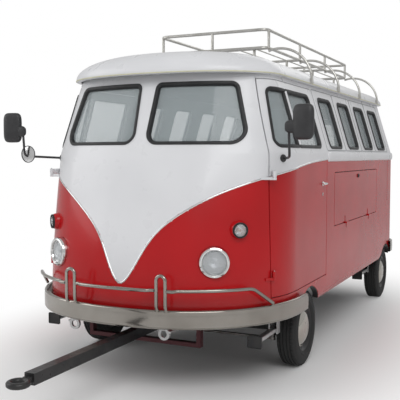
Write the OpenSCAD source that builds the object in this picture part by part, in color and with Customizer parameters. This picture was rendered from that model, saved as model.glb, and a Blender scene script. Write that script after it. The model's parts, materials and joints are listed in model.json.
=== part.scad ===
// Towed food trailer in the style of a classic split-windscreen bus.
// Front is -Y, the vehicle's left is +X, up is +Z, the ground is Z = 0.

/* [Body] */
// Width of the body over its sides
body_w = 2000; // [1700:10:2400]
// Distance between the front and rear axles
wheelbase = 3000; // [2500:10:3600]
// Nose tip ahead of the front axle, at the sill
front_overhang = 1210; // [1100:10:1500]
// Tail face behind the rear axle
rear_overhang = 570; // [500:10:900]
// Height of the sill's lower edge
sill_z = 485; // [470:5:500]
// Height of the crease round the body
belt_z = 1667; // [1500:1:1900]
// Height of the eave's lower edge
eave_z = 2235; // [2100:5:2700]
// Height of the roof's crown above the eave
roof_rise = 200; // [180:5:350]
// Thickness of walls, doors and roof
wall = 45; // [30:1:60]
// Length of the rounded nose, from its tip to the flat side
nose_len = 850; // [700:10:950]
// Radius of the tail's corners
tail_r = 350; // [250:10:450]
// How far the nose leans back from the sill to the crease
nose_rake = 262; // [150:2:300]
// Lean of the sides above the crease, in mm per mm of height
tumblehome = 0.3; // [0.1:0.01:0.35]
// Overhang of the eave past the sides
eave_lip = 42; // [30:1:60]

/* [Doors and openings] */
// Gap round every door and flap
door_gap = 5; // [5:0.5:8]
// Rear edge of the cab doors, behind the front axle
door_rear = 450; // [400:10:600]
// Lower edge of the cab doors
door_sill = 655; // [640:5:700]
// Lower edge of the serving flaps
flap_z = 1040; // [900:10:1150]
// Height of the serving flaps
flap_h = 460; // [300:10:500]
// Length of the serving flaps
flap_l = 1740; // [1200:10:1800]
// Width of the rear door
rear_door_w = 700; // [600:10:750]
// Lower edge of every window
pane_low = 1722; // [1700:1:1750]
// Upper edge of every window
pane_high = 2130; // [2000:1:2160]
// Length of each small side window
pane_l = 390; // [300:5:420]
// Thickness of the window glass
glass_t = 6; // [4:0.5:8]

/* [Running gear] */
// Outside radius of the tyres
tyre_r = 295; // [280:1:300]
// Width of the tyres
tyre_w = 165; // [145:1:175]
// Outside radius of the wheel rims
rim_r = 178; // [165:1:190]
// Distance between the centres of the two wheels of an axle
track = 1780; // [1740:10:1800]
// Distance of the kingpins from the middle of the vehicle
kingpin_x = 765; // [740:1:770]
// Length of the steering arms
steer_arm = 200; // [180:5:220]
// Length of the drawbar, from its pivot to the eye's centre
drawbar_l = 2270; // [1900:10:2600]
// Width of the drawbar's square tube
drawbar_w = 70; // [50:1:80]
// Outside radius of the towing eye
eye_r = 70; // [60:1:80]
// Bore radius of the towing eye
eye_bore_r = 35; // [25:1:40]
// Length of each corner steady's leg
steady_l = 400; // [300:10:420]

/* [Roof rack] */
// Width of the rack over its rails
rack_w = 1035; // [800:5:1200]
// Height of the rack's top rail above the ground
rack_top_z = 2720; // [2650:5:3200]
// Radius of the rack's tubes
rack_tube_r = 13; // [10:0.5:16]
// Number of hoops on each side
hoop_count = 4; // [2:1:5]

/* [Hidden] */

// colours
red = [0.62, 0.03, 0.04];
white = [0.86, 0.87, 0.88];
steel = [0.72, 0.72, 0.70];
black = [0.04, 0.04, 0.045];
maroon = [0.20, 0.03, 0.04];
glass = [0.55, 0.62, 0.64, 0.4];

// places along the vehicle, counted from the middle of the wheelbase
half_w = body_w / 2;
front_axle_y = -wheelbase / 2;
rear_axle_y = wheelbase / 2;
nose_y = front_axle_y - front_overhang;
tail_y = rear_axle_y + rear_overhang;
nose_end = nose_y + nose_len;
tail_start = tail_y - tail_r;
tail_split = tail_start - 100;
door_rear_y = front_axle_y + door_rear;
hub_z = tyre_r;
wheel_x = track / 2;
eye_y = front_axle_y - drawbar_l;

// nose and tail section
rake_z = 600;
rake_power = 1.6;
upper_rake = 0.365;
tail_rake = 0.3;
tuck_z = 560;
tuck = 18;
nose_power = 2.3;
nose_steps = 44;
tail_steps = 10;
body_levels = [sill_z, 520, tuck_z, rake_z, 770, 930, 1090, 1250, 1410, 1550, belt_z, eave_z + 40];
lining_levels = [sill_z - 1, rake_z + 1, 932, 1334, belt_z, eave_z + 41];
tail_lining_levels = [sill_z - 1, rake_z + 1, belt_z, eave_z + 41];
upper_levels = [belt_z, eave_z + 40];

// How far the nose face lies behind its tip at height z
function rake(z) = z < rake_z ? 0
    : z < belt_z ? nose_rake * pow((z - rake_z) / (belt_z - rake_z), rake_power)
    : nose_rake + upper_rake * (z - belt_z);
// How far the sides lean in at height z
function lean(z) = z > belt_z ? tumblehome * (z - belt_z)
    : z < tuck_z ? tuck * pow((tuck_z - z) / (tuck_z - sill_z), 2) : 0;
// How far the tail face leans forward at height z
function tail_lean(z) = z > belt_z ? tail_rake * (z - belt_z) : 0;
// Points of a rounded nose and tail with half width w, nose length b and tail depth d
function outline(w, b, d, nose_mid, tail_mid, r) = concat(
    [for (i = [0 : nose_steps]) let (t = 180 * i / nose_steps, c = cos(t))
        [w * sign(c) * pow(abs(c), 2 / nose_power), nose_mid - b * sin(t)]],
    [for (i = [0 : tail_steps]) let (t = 180 - 90 * i / tail_steps)
        [-w + r + r * cos(t), tail_mid + d * sin(t)]],
    [for (i = [0 : tail_steps]) let (t = 90 - 90 * i / tail_steps)
        [w - r + r * cos(t), tail_mid + d * sin(t)]]);
// Outline of the body at height z, drawn in by inset
function plan(z, inset) = outline(half_w - lean(z) - inset, nose_len - rake(z) - inset,
    tail_r - tail_lean(z) - inset, nose_end, tail_start, tail_r - inset);

// Distance of the left skin from the middle, at y and height z
function skin_x(y, z) = (half_w - lean(z))
    * pow(1 - pow(max(0, nose_end - y) / (nose_len - rake(z)), 2), 1 / nose_power);
// Angle by which the left skin there turns towards the front
function skin_turn(y, z) = let (w = half_w - lean(z), b = nose_len - rake(z))
    atan2(2 * (nose_end - y) / (b * b), nose_power * pow(skin_x(y, z) / w, nose_power - 1) / w);

// Convex slab between two outlines with as many points, at heights z0 and z1
module slab(low, high, z0, z1) {
    n = len(low);
    hull() polyhedron(concat([for (p = low) [p[0], p[1], z0]], [for (p = high) [p[0], p[1], z1]]),
        [[for (k = [0 : n - 1]) k], [for (k = [n - 1 : -1 : 0]) n + k]]);
}

// Solid of the body between the given heights
module body_solid(levels, inset) {
    for (i = [0 : len(levels) - 2])
        slab(plan(levels[i], inset), plan(levels[i + 1], inset), levels[i], levels[i + 1]);
}

// Walls of the body, open at the top and bottom
module body_walls(inner_levels) {
    difference() {
        body_solid(body_levels, 0);
        body_solid(inner_levels, wall);
    }
}

// The seam between the nose and a cab door, as seen from the side
seam_low_y = nose_y + 510;
seam_shift = 145;
seam_power = 1.9;
function seam_y(z) = seam_low_y + seam_shift * pow(rake(z) / rake(2200), seam_power);
seam_points = [for (z = [sill_z - 20 : 60 : eave_z + 60]) [seam_y(z), z]];
big = 4000;

// Everything ahead of the seam, moved forward by gap
module ahead_of_seam(gap) {
    rotate([90, 0, 90]) linear_extrude(2 * big, center = true)
        translate([-gap, 0]) polygon(concat(seam_points, [[-big, eave_z + 60], [-big, sill_z - 20]]));
}

// Box from its low corner to its high corner
module block(low, high) {
    translate(low) cube(high - low);
}

// Rounded four-cornered cutter that runs along X, from [y, z] corners
module side_cutter(corners, r, low_x, high_x) {
    hull() for (p = corners) translate([low_x, p[0], p[1]])
        rotate([0, 90, 0]) cylinder(r = r, h = high_x - low_x, $fn = 24);
}

// Corners of a rounded opening, moved in from its edges by r
function rounded(y0, y1, z0, z1, r) = [[y0 + r, z0 + r], [y1 - r, z0 + r], [y1 - r, z1 - r], [y0 + r,
    z1 - r]];

// small side windows
pane_count = 4;
pane_r = 48;
pane_front_margin = 33;
pane_rear_margin = 162;
pane_pitch = (tail_start - door_rear_y - pane_front_margin - pane_rear_margin) / pane_count;
function pane_y(i) = door_rear_y + pane_front_margin + pane_pitch * (i + 0.5);

// Small side windows on the left, each edge drawn in by fit
module side_panes(fit) {
    for (i = [0 : pane_count - 1])
        side_cutter(rounded(pane_y(i) - pane_l / 2 + fit, pane_y(i) + pane_l / 2 - fit,
            pane_low + fit, pane_high + fit * -1, pane_r - fit), pane_r - fit, 300, big);
}

// cab door window, split by an upright bar
cab_pane_front = seam_low_y + 113;
cab_pane_slant = 78;
cab_pane_rear = door_rear_y - 130;
cab_bar_y = cab_pane_front + 330;
cab_bar_w = 24;
cab_pane_r = 45;

// Cab door window on the left: the whole opening, or its two panes
module cab_pane_opening() {
    side_cutter([[cab_pane_front + cab_pane_r, pane_low + cab_pane_r],
        [cab_pane_rear - cab_pane_r, pane_low + cab_pane_r],
        [cab_pane_rear - cab_pane_r, pane_high - cab_pane_r],
        [cab_pane_front + cab_pane_slant + cab_pane_r, pane_high - cab_pane_r]], cab_pane_r, 300, big);
}

// windscreen halves
screen_low = 1742;
screen_high = 2163;
screen_inner_low = 58;
screen_inner_high = 76;
screen_outer_low = 762;
screen_outer_high = 640;
screen_r_low = 75;
screen_r_high = 40;

// Left half of the windscreen, as a cutter that runs along Y, drawn in by fit
module screen_cutter(fit) {
    hull() {
        for (p = [[screen_inner_low, screen_low, screen_r_low, 1], [screen_outer_low, screen_low,
            screen_r_low, -1]])
            translate([p[0] + p[3] * p[2], -big, p[1] + p[2]]) rotate([-90, 0, 0])
                cylinder(r = p[2] - fit, h = big - 1900, $fn = 24);
        for (p = [[screen_inner_high, screen_high, screen_r_high, 1], [screen_outer_high, screen_high,
            screen_r_high, -1]])
            translate([p[0] + p[3] * p[2], -big, p[1] - p[2]]) rotate([-90, 0, 0])
                cylinder(r = p[2] - fit, h = big - 1900, $fn = 24);
    }
}

// lamps
headlamp_x = 640;
headlamp_y = nose_y + 182;
headlamp_z = 930;
headlamp_r = 107;
headlamp_yaw = 26;
turn_x = 800;
turn_y = nose_y + 272;
turn_z = 1143;
turn_r = 55;
turn_yaw = 36;
lamp_fit = 0.3;
lamp_back = 75;

// Round lamp on the left of the nose, from depth back to depth front
module lamp(x, y, z, yaw, r, back, front) {
    translate([x, y, z]) rotate([90, 0, yaw]) translate([0, 0, -back]) cylinder(r = r, h = back + front,
        $fn = 48);
}

module lamp_pair(r_add, back, front) {
    lamp(headlamp_x, headlamp_y, headlamp_z, headlamp_yaw, headlamp_r + r_add, back, front);
    lamp(turn_x, turn_y, turn_z, turn_yaw, turn_r + r_add, back, front);
}

// Draws its children on both sides
module both_sides() {
    children();
    mirror([1, 0, 0]) children();
}

module nose_panel() {
    color(red) difference() {
        intersection() {
            body_walls(lining_levels);
            ahead_of_seam(0);
        }
        both_sides() {
            screen_cutter(0);
            lamp_pair(lamp_fit, 300, 200);
        }
    }
}

// Opening of the left cab door, larger than the door by gap
module door_zone(gap, low) {
    difference() {
        block([300, seam_low_y - 200, low - gap], [big, door_rear_y + gap, eave_z - 35 + gap]);
        ahead_of_seam(gap);
    }
}

arch_r = tyre_r + 35;

// Round cutter for the wheel arch of the left side
module arch_cutter(y) {
    translate([300, y, hub_z]) rotate([0, 90, 0]) cylinder(r = arch_r, h = big, $fn = 64);
}

// Left side wall, without the cab door, the flap, the windows and the wheel arches
module side_wall() {
    difference() {
        body_walls(lining_levels);
        ahead_of_seam(0);
        block([-big, -big, 0], [300, big, big]);
        block([-big, tail_split, 0], [big, big, big]);
        difference() {
            block([300, -big, door_sill - door_gap], [big, door_rear_y + door_gap, eave_z - 35 + door_gap]);
            ahead_of_seam(0);
        }
        block([300, flap_y0 - door_gap, flap_z - door_gap], [big, flap_y0 + flap_l + door_gap,
            flap_z + flap_h + door_gap]);
        side_panes(0);
        arch_cutter(front_axle_y);
        arch_cutter(rear_axle_y);
    }
}

module left_side_panel() {
    color(red) side_wall();
}

module right_side_panel() {
    color(red) mirror([1, 0, 0]) side_wall();
}

// rear door
rear_door_low = 690;
rear_door_high = 2110;
rear_pane_w = 520;
rear_pane_low = 1740;
rear_pane_high = 2050;

// Upright rectangular zone at the tail, from x0 to x1
module tail_zone(x0, x1, z0, z1) {
    block([x0, tail_split, z0], [x1, big, z1]);
}

// Rounded cutter through the rear door's window
module rear_pane(fit) {
    r = 60;
    hull() for (x = [-1, 1], z = [rear_pane_low + r, rear_pane_high - r])
        translate([x * (rear_pane_w / 2 - r), tail_split, z]) rotate([-90, 0, 0])
            cylinder(r = r - fit, h = big, $fn = 24);
}

module tail_panel() {
    color(red) difference() {
        body_walls(tail_lining_levels);
        block([-big, -big, 0], [big, tail_split, big]);
        tail_zone(-rear_door_w / 2 - door_gap, rear_door_w / 2 + door_gap,
            rear_door_low - door_gap, rear_door_high + door_gap);
        both_sides() {
            tail_lamp_body(lamp_fit, 200);
            arch_cutter(rear_axle_y);
        }
    }
}

module rear_door() {
    color(white) difference() {
        intersection() {
            body_walls(tail_lining_levels);
            tail_zone(-rear_door_w / 2, rear_door_w / 2, rear_door_low, rear_door_high);
        }
        rear_pane(0);
    }
}

// Sheet of glass that follows the upper walls
module glass_sheet() {
    difference() {
        body_solid(upper_levels, glass_inset);
        body_solid(concat([belt_z - 1], upper_levels, [eave_z + 41]), glass_inset + glass_t);
    }
}

glass_inset = 20;
glass_fit = 0.3;

module rear_door_glass() {
    color(glass) intersection() {
        glass_sheet();
        rear_pane(glass_fit);
    }
}

module fixed_glass() {
    color(glass) intersection() {
        glass_sheet();
        both_sides() {
            screen_cutter(glass_fit);
            side_panes(glass_fit);
        }
    }
}

module cab_door() {
    difference() {
        intersection() {
            body_walls(lining_levels);
            door_zone(0, door_sill);
        }
        ahead_of_seam(-door_gap);
        cab_pane_opening();
    }
}

module left_door() {
    color(red) cab_door();
}

module right_door() {
    color(red) mirror([1, 0, 0]) cab_door();
}

// The two panes of the left cab door window
module cab_door_glass() {
    difference() {
        intersection() {
            glass_sheet();
            cab_pane_opening();
        }
        block([300, cab_bar_y - cab_bar_w / 2, pane_low], [big, cab_bar_y + cab_bar_w / 2, pane_high]);
    }
}

module left_door_glass() {
    color(glass) cab_door_glass();
}

module right_door_glass() {
    color(glass) mirror([1, 0, 0]) cab_door_glass();
}

// serving flap
flap_y0 = door_rear_y + 250;
flap_hinge_r = 7;
pin_fit = 0.05;
flap_eye_l = 40;
flap_hinges = [flap_y0 + 0.23 * flap_l, flap_y0 + 0.77 * flap_l];
flap_axis_x = half_w + flap_hinge_r + 3;
flap_axis_z = flap_z - door_gap / 2;

// Flat flap with its hinge eyes and latch
module flap() {
    difference() {
        union() {
            block([half_w - wall, flap_y0, flap_z], [half_w, flap_y0 + flap_l, flap_z + flap_h]);
            for (y = flap_hinges) {
                translate([flap_axis_x, y + flap_eye_l / 2, flap_axis_z]) rotate([90, 0, 0])
                    cylinder(r = flap_hinge_r + 3, h = flap_eye_l, $fn = 32);
                block([half_w, y - flap_eye_l / 2, flap_z], [half_w + 3, y + flap_eye_l / 2, flap_z + 60]);
            }
            translate([half_w - 1, flap_y0 + flap_l / 2, flap_z + flap_h - 45]) rotate([0, 90, 0])
                cylinder(r = 16, h = 16, $fn = 32);
        }
        for (y = flap_hinges) translate([flap_axis_x, y + flap_eye_l / 2 + 1, flap_axis_z]) rotate([90,
            0, 0])
            cylinder(r = flap_hinge_r - 3 + pin_fit, h = flap_eye_l + 2, $fn = 32);
    }
}

module left_flap() {
    color(red) flap();
}

module right_flap() {
    color(red) mirror([1, 0, 0]) flap();
}

// cab door hinges
hinge_x = skin_x(seam_low_y, sill_z + 200) + 22;
hinge_y = seam_low_y + 2;
hinge_heights = [800, 1500];
hinge_eye_r = 13;
hinge_pin_r = 6;
hinge_eye_l = 44;
hinge_root_l = 19;
hinge_pad = 35;
hinge_pad_t = 8;

// Hinge eye joined to a pad on the skin at y, from height z up by h
module hinge_leaf(y, z, h) {
    hull() {
        translate([hinge_x, hinge_y, z]) cylinder(r = hinge_eye_r, h = h, $fn = 32);
        translate([skin_x(y, z), y, z]) rotate([0, 0, -skin_turn(y, z)])
            block([seat_gap, -hinge_pad / 2, 0], [hinge_pad_t, hinge_pad / 2, h]);
    }
}

// Hinge eyes and the handle on the left cab door
module cab_door_fittings() {
    difference() {
        union() {
            for (z = hinge_heights) hinge_leaf(seam_y(z) + hinge_pad, z, hinge_eye_l);
            translate([half_w + seat_gap, door_rear_y - 130, 1420]) rotate([0, 90, 0])
                cylinder(r = 20, h = 25, $fn = 32);
            block([half_w + 18, door_rear_y - 190, 1410], [half_w + 34, door_rear_y - 70, 1430]);
        }
        for (z = hinge_heights) translate([hinge_x, hinge_y, z - 1])
            cylinder(r = hinge_pin_r + pin_fit, h = hinge_eye_l + 2, $fn = 32);
    }
}

module left_door_fittings() {
    color(steel) cab_door_fittings();
}

module right_door_fittings() {
    color(steel) mirror([1, 0, 0]) cab_door_fittings();
}

// rear door hinges and handle
rear_hinge_x = rear_door_w / 2 + door_gap / 2;
rear_hinge_y = tail_y + hinge_eye_r + 2;
rear_hinge_heights = [800, 1540];

module rear_door_fittings() {
    color(steel) difference() {
        union() {
            for (z = rear_hinge_heights) {
                translate([rear_hinge_x, rear_hinge_y, z]) cylinder(r = hinge_eye_r, h = hinge_eye_l,
                    $fn = 32);
                block([rear_hinge_x - 90, tail_y + 0.3, z], [rear_hinge_x - 6, tail_y + 8,
                    z + hinge_eye_l]);
            }
            translate([-rear_door_w / 2 + 80, tail_y + 0.3, 1300]) rotate([-90, 0, 0]) cylinder(r = 20,
                h = 25, $fn = 32);
            block([-rear_door_w / 2 + 20, tail_y + 18, 1290], [-rear_door_w / 2 + 140, tail_y + 34, 1310]);
        }
        for (z = rear_hinge_heights) translate([rear_hinge_x, rear_hinge_y, z - 1])
            cylinder(r = hinge_pin_r + pin_fit, h = hinge_eye_l + 2, $fn = 32);
    }
}

// Pins of every hinge, each with the leaf that holds it
module hinge_pins() {
    color(steel) {
        both_sides() {
            for (z = hinge_heights) union() {
                translate([hinge_x, hinge_y, z - 20]) cylinder(r = hinge_pin_r, h = hinge_eye_l + 20,
                    $fn = 32);
                hinge_leaf(seam_y(z - 20) - hinge_pad, z - 20, hinge_root_l);
            }
            for (y = flap_hinges) union() {
                translate([flap_axis_x, y + flap_eye_l / 2 + 20, flap_axis_z]) rotate([90, 0, 0])
                    cylinder(r = flap_hinge_r - 3, h = flap_eye_l + 20, $fn = 32);
                translate([flap_axis_x, y + flap_eye_l / 2 + 20, flap_axis_z]) rotate([90, 0, 0])
                    cylinder(r = flap_hinge_r + 3, h = 19, $fn = 32);
                block([half_w, y + flap_eye_l / 2 + 1, flap_axis_z - 60], [half_w + 3,
                    y + flap_eye_l / 2 + 20, flap_axis_z]);
            }
        }
        for (z = rear_hinge_heights) union() {
            translate([rear_hinge_x, rear_hinge_y, z - 20]) cylinder(r = hinge_pin_r,
                h = hinge_eye_l + 20, $fn = 32);
            translate([rear_hinge_x, rear_hinge_y, z - 20]) cylinder(r = hinge_eye_r, h = 19, $fn = 32);
            block([rear_hinge_x + 6, tail_y + 0.3, z - 20], [rear_hinge_x + 70, tail_y + 8, z - 1]);
        }
    }
}

// roof
roof_front = nose_y + 360;
roof_nose_len = nose_len - rake(eave_z) + 130;
roof_half_w = half_w - lean(eave_z) + eave_lip;
roof_mid = roof_front + roof_nose_len;
roof_tail_r = tail_r - tail_lean(eave_z) + eave_lip;
roof_power = 3;
roof_shell_t = 40;
roof_steps = 7;
roof_rim = 41;

// Share of its base size that the dome keeps at share u of its rise
function dome(u) = pow(1 - u * u, 1 / roof_power);

// Outline of the dome at one height, with its base drawn in by inset and scaled by share
function dome_plan(inset, share) = outline((roof_half_w - inset) * share, (roof_nose_len - inset) * share,
    (roof_tail_r - inset) * share, roof_mid, tail_start, (roof_tail_r - inset) * share);

// Solid dome that starts at the height base
module dome_solid(inset, rise, base, steps) {
    for (i = [0 : steps - 1]) let (low = sin(85 * i / steps), high = sin(85 * (i + 1) / steps))
        slab(dome_plan(inset, dome(low)), dome_plan(inset, dome(high)), base + rise * low,
            base + rise * high);
}

module roof_panel() {
    color(white) difference() {
        dome_solid(0, roof_rise, eave_z, roof_steps);
        dome_solid(roof_shell_t, roof_rise - roof_rim - roof_shell_t, eave_z + roof_rim, 4);
        body_solid([belt_z, eave_z + 40, eave_z + roof_rim + 0.5], -0.3);
    }
}

// floor and chassis
floor_t = 30;
floor_z = 612;
rail_x = 450;
rail_w = 60;
rail_low = 450;
rail_h = 100;
rail_front = front_axle_y - 835;
cross_t = 60;

// Half length of a cross member that starts at y
function cross_half(y) = (half_w - wall) * pow(1 - pow(max(0, nose_end - y) / (nose_len - wall), 2),
    1 / nose_power) - 20;

module floor_pan() {
    color(black) translate([0, 0, floor_z]) linear_extrude(floor_t) polygon(plan(belt_z, wall + 1));
}

module chassis_frame() {
    color(black) union() {
        both_sides() {
            block([rail_x - rail_w / 2, rail_front, rail_low], [rail_x + rail_w / 2, tail_y - wall - 20,
                rail_low + rail_h]);
            block([half_w - wall - 60, nose_end, floor_z - 12], [half_w - wall - 20, tail_start, floor_z]);
            block([rail_x - strap_w / 2, tail_y - wall - 21, strap_z],
                [rail_x + strap_w / 2, tail_y + rear_bumper_gap - bumper_t - 0.3, strap_z + strap_t]);
            block([rail_x - strap_w / 2, tail_y + rear_bumper_gap - bumper_t - 0.3 - strap_t, strap_z],
                [rail_x + strap_w / 2, tail_y + rear_bumper_gap - bumper_t - 0.3, bumper_low + bumper_h]);
        }
        for (y = [rail_front, front_axle_y - 420, front_axle_y + 420, 0, rear_axle_y - 420, tail_start])
            block([-cross_half(y), y, rail_low + rail_h], [cross_half(y), y + cross_t, floor_z]);
    }
}

// flat straps that carry the bumpers
strap_w = 40;
strap_t = 12;
strap_z = sill_z - 17;

// Hoop under the nose that the drawbar swings in
guide_half_w = 465;
guide_low = 290;
guide_t = 30;
guide_d = 50;

module drawbar_guide() {
    color(maroon) rotate([90, 0, 0]) translate([0, 0, -rail_front]) linear_extrude(guide_d) difference() {
        translate([-guide_half_w, guide_low]) square([2 * guide_half_w, rail_low + 30 - guide_low]);
        translate([-guide_half_w + guide_t, guide_low + guide_t])
            square([2 * (guide_half_w - guide_t), rail_low - guide_low - guide_t]);
    }
}

// bumpers
bumper_gap = 78;
bumper_t = 8;
bumper_low = 490;
bumper_h = 130;
bumper_end_y = front_axle_y - 205;
bumper_r = 42;

// Outline that runs round the nose at the given distance from it
function nose_ring(gap) = outline(half_w + gap * 0.62, nose_len + gap, 10, nose_end, nose_end + 400, 9);

// Strip round the nose between two distances, up to y
module nose_strip(near, far, height, y_end) {
    linear_extrude(height) intersection() {
        difference() {
            polygon(nose_ring(far));
            polygon(nose_ring(near));
        }
        translate([-big, -big]) square([2 * big, big + y_end]);
    }
}

module front_bumper() {
    color(steel) union() {
        difference() {
            translate([0, 0, bumper_low]) nose_strip(bumper_gap - bumper_t, bumper_gap, bumper_h,
                bumper_end_y);
            both_sides() translate([0, bumper_end_y - bumper_r,
                bumper_low + bumper_h - bumper_r]) rotate([0, 90, 0])
                difference() {
                    translate([-bumper_r - 1, 0, 0]) cube([bumper_r + 1, bumper_r + 1, big]);
                    cylinder(r = bumper_r, h = big, $fn = 48);
                }
        }
    }
}

// tube rail and overriders over the front bumper
rail_tube_r = 12;
rail_tube_z = 756;
over_x = 360;
over_w = 92;
over_top = 868;
over_low = bumper_low + 40;
rail_half_span = 880;
// Place on the bumper's face at distance x from the middle, moved out by gap
function bumper_face(x, gap) = nose_end
    - (nose_len + gap) * sqrt(1 - pow(abs(x) / (half_w + gap * 0.62), nose_power));

// Round bar between two points
module bar(a, b, r) {
    d = b - a;
    l = norm(d);
    translate(a) rotate([0, acos(d[2] / l), atan2(d[1], d[0])]) cylinder(r = r, h = l, $fn = 20);
}

// Chain of round bars with ball joints
module bar_chain(points, r) {
    for (i = [0 : len(points) - 2]) bar(points[i], points[i + 1], r);
    for (p = points) translate(p) sphere(r = r, $fn = 20);
}

// Chain of short faceted tubes, for a bar that follows the nose
module tube_chain(points, r) {
    for (i = [0 : len(points) - 2]) hull() {
        translate(points[i]) sphere(r = r, $fn = 8);
        translate(points[i + 1]) sphere(r = r, $fn = 8);
    }
}

rail_steps = 6;
rail_gap = bumper_gap + rail_tube_r + 11;
seat_gap = 0.3;
facet = cos(22.5);

// Points of the rail from x0 to x1
function rail_points(x0, x1) = [for (i = [0 : rail_steps]) let (x = x0 + (x1 - x0) * i / rail_steps)
    [x, bumper_face(abs(abs(x) - over_x) < over_w ? over_x : x, rail_gap), rail_tube_z]];

module bumper_rails() {
    end_x = rail_half_span + 80;
    end_y = bumper_face(end_x, bumper_gap - bumper_t / 2);
    end_z = bumper_low + bumper_h + rail_tube_r * facet + seat_gap;
    reach = over_w / 2 + rail_tube_r * facet + seat_gap;
    color(steel) {
        tube_chain(rail_points(-over_x + reach, over_x - reach), rail_tube_r);
        both_sides() tube_chain(concat(rail_points(over_x + reach, rail_half_span), [[end_x, end_y,
            end_z]]), rail_tube_r);
    }
}

// Inverted U of tube that stands on the bumper's face
module overrider() {
    y = bumper_face(over_x, rail_gap);
    reach = over_w / 2 - rail_tube_r;
    bend_z = over_top - over_w / 2;
    for (e = [-1, 1]) {
        x = over_x + e * reach;
        translate([x, y, over_low]) cylinder(r = rail_tube_r, h = bend_z - over_low, $fn = 32);
        block([x - 6, y, over_low + 20], [x + 6, bumper_face(x - 6, bumper_gap) - seat_gap, over_low + 36]);
    }
    translate([over_x, y, bend_z]) rotate([90, 0, 0])
        rotate_extrude(angle = 180, $fn = 48) translate([reach, 0]) circle(r = rail_tube_r, $fn = 32);
}

module overriders() {
    color(steel) both_sides() overrider();
}

rear_bumper_gap = 60;

module rear_bumper() {
    color(steel) translate([0, 0, bumper_low + 25]) linear_extrude(bumper_h) intersection() {
        difference() {
            polygon(outline(half_w + rear_bumper_gap / 2, 10, tail_r + rear_bumper_gap, tail_start - 300,
                tail_start, tail_r));
            polygon(outline(half_w + rear_bumper_gap / 2 - bumper_t, 10,
                tail_r + rear_bumper_gap - bumper_t,
                tail_start - 300, tail_start, tail_r - bumper_t));
        }
        translate([-big, tail_start - 60]) square([2 * big, big]);
    }
}

module front_lamps() {
    color(steel) both_sides() {
        lamp(headlamp_x, headlamp_y, headlamp_z, headlamp_yaw, headlamp_r, lamp_back, 24);
        lamp(turn_x, turn_y, turn_z, turn_yaw, turn_r, lamp_back, 16);
    }
}

tail_lamp_x = 760;
tail_lamp_z = 930;
tail_lamp_r = 60;
tail_lamp_yaw = -32;

// Round tail lamp on the left corner
module tail_lamp_body(r_add, back) {
    translate([tail_lamp_x, tail_y - 60, tail_lamp_z]) rotate([-90, 0, tail_lamp_yaw])
        translate([0, 0, -back]) cylinder(r = tail_lamp_r + r_add, h = back + (r_add > 0 ? 200 : 32),
            $fn = 48);
}

module tail_lamps() {
    color(red) both_sides() tail_lamp_body(0, 40);
}

// towing eyes under the front bumper, each on its bracket
tow_eye_r = 42;
tow_bore_r = 24;
tow_eye_t = 18;
tow_z = 458;

module tow_eyes() {
    y = bumper_face(over_x + 28, bumper_gap - bumper_t) + 2 * seat_gap;
    color(steel) both_sides() difference() {
        union() {
            block([over_x + tow_bore_r + 4, y, strap_z],
                [over_x + tow_bore_r + 28, rail_front - guide_d, strap_z + strap_t]);
            block([over_x - 25, y, tow_z], [over_x + 25, y + 10, bumper_low + bumper_h - 20]);
            translate([over_x, y + tow_eye_t, tow_z]) rotate([90, 0, 0]) cylinder(r = tow_eye_r,
                h = tow_eye_t, $fn = 48);
        }
        translate([over_x, y + 40, tow_z]) rotate([90, 0, 0]) cylinder(r = tow_bore_r, h = 80, $fn = 48);
    }
}

// roof rack
rack_front = front_axle_y + 340;
rack_rear = rear_axle_y + 10;
rack_low_z = rack_top_z - 164;
rack_posts = 4;
function rack_post_y(i) = rack_front + 40 + (rack_rear - rack_front - 80) * i / (rack_posts - 1);

// Rectangular loop of tube at height z
module rack_loop(z) {
    x = rack_w / 2 - rack_tube_r;
    bar_chain([[-x, rack_front, z], [x, rack_front, z], [x, rack_rear, z], [-x, rack_rear, z], [-x,
        rack_front, z]], rack_tube_r);
}

module roof_rack() {
    x = rack_w / 2 - rack_tube_r;
    color(steel) union() {
        rack_loop(rack_top_z - rack_tube_r);
        rack_loop(rack_low_z);
        for (i = [0 : rack_posts - 1]) {
            for (s = [-1, 1]) bar([s * x, rack_post_y(i), rack_low_z], [s * x, rack_post_y(i),
                rack_top_z - rack_tube_r], rack_tube_r - 1);
            bar([-x, rack_post_y(i), rack_low_z], [x, rack_post_y(i), rack_low_z], rack_tube_r - 1);
            for (s = [-1, 1]) bar([s * (x - 130), rack_post_y(i),
                roof_z_at(x - 130 - rack_tube_r) + seat_gap],
                [s * (x - 130), rack_post_y(i), rack_low_z], rack_tube_r - 1);
        }
        for (y = [rack_front, rack_rear]) bar([0, y, rack_low_z], [0, y, rack_top_z - rack_tube_r],
            rack_tube_r - 1);
    }
}

// Height of the roof's outer skin at distance x from the middle
function roof_z_at(x) = eave_z + roof_rise * lookup(x / roof_half_w,
    [for (i = [roof_steps : -1 : 0]) let (u = sin(85 * i / roof_steps)) [dome(u), u]]);

// Arched hoops that run from the eave up to the rack
hoop_r = 11;
hoop_foot_z = eave_z + 24;

// Quarter arch from its foot outside the eave to the rack's low rail
module roof_hoops() {
    foot_x = roof_half_w + hoop_r + 2;
    span_x = foot_x - (rack_w / 2 - rack_tube_r);
    span_z = rack_low_z - rack_tube_r - hoop_r - hoop_foot_z - 1;
    arc_r = (span_x * span_x + span_z * span_z) / (2 * span_x);
    arc = 180 - asin(span_z / arc_r);
    color(steel) both_sides() for (i = [0 : hoop_count - 1]) {
        y = rack_post_y(0) + (rack_post_y(rack_posts - 1) - rack_post_y(0)) * i / (hoop_count - 1);
        union() {
            translate([foot_x - arc_r, y, hoop_foot_z]) rotate([90, 0, 0])
                rotate_extrude(angle = span_x > arc_r ? arc : 180 - arc, $fn = 64)
                    translate([arc_r, 0]) circle(r = hoop_r, $fn = 24);
            block([roof_half_w + seat_gap, y - 18, hoop_foot_z - 20], [foot_x + hoop_r, y + 18,
                hoop_foot_z]);
        }
    }
}

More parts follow.
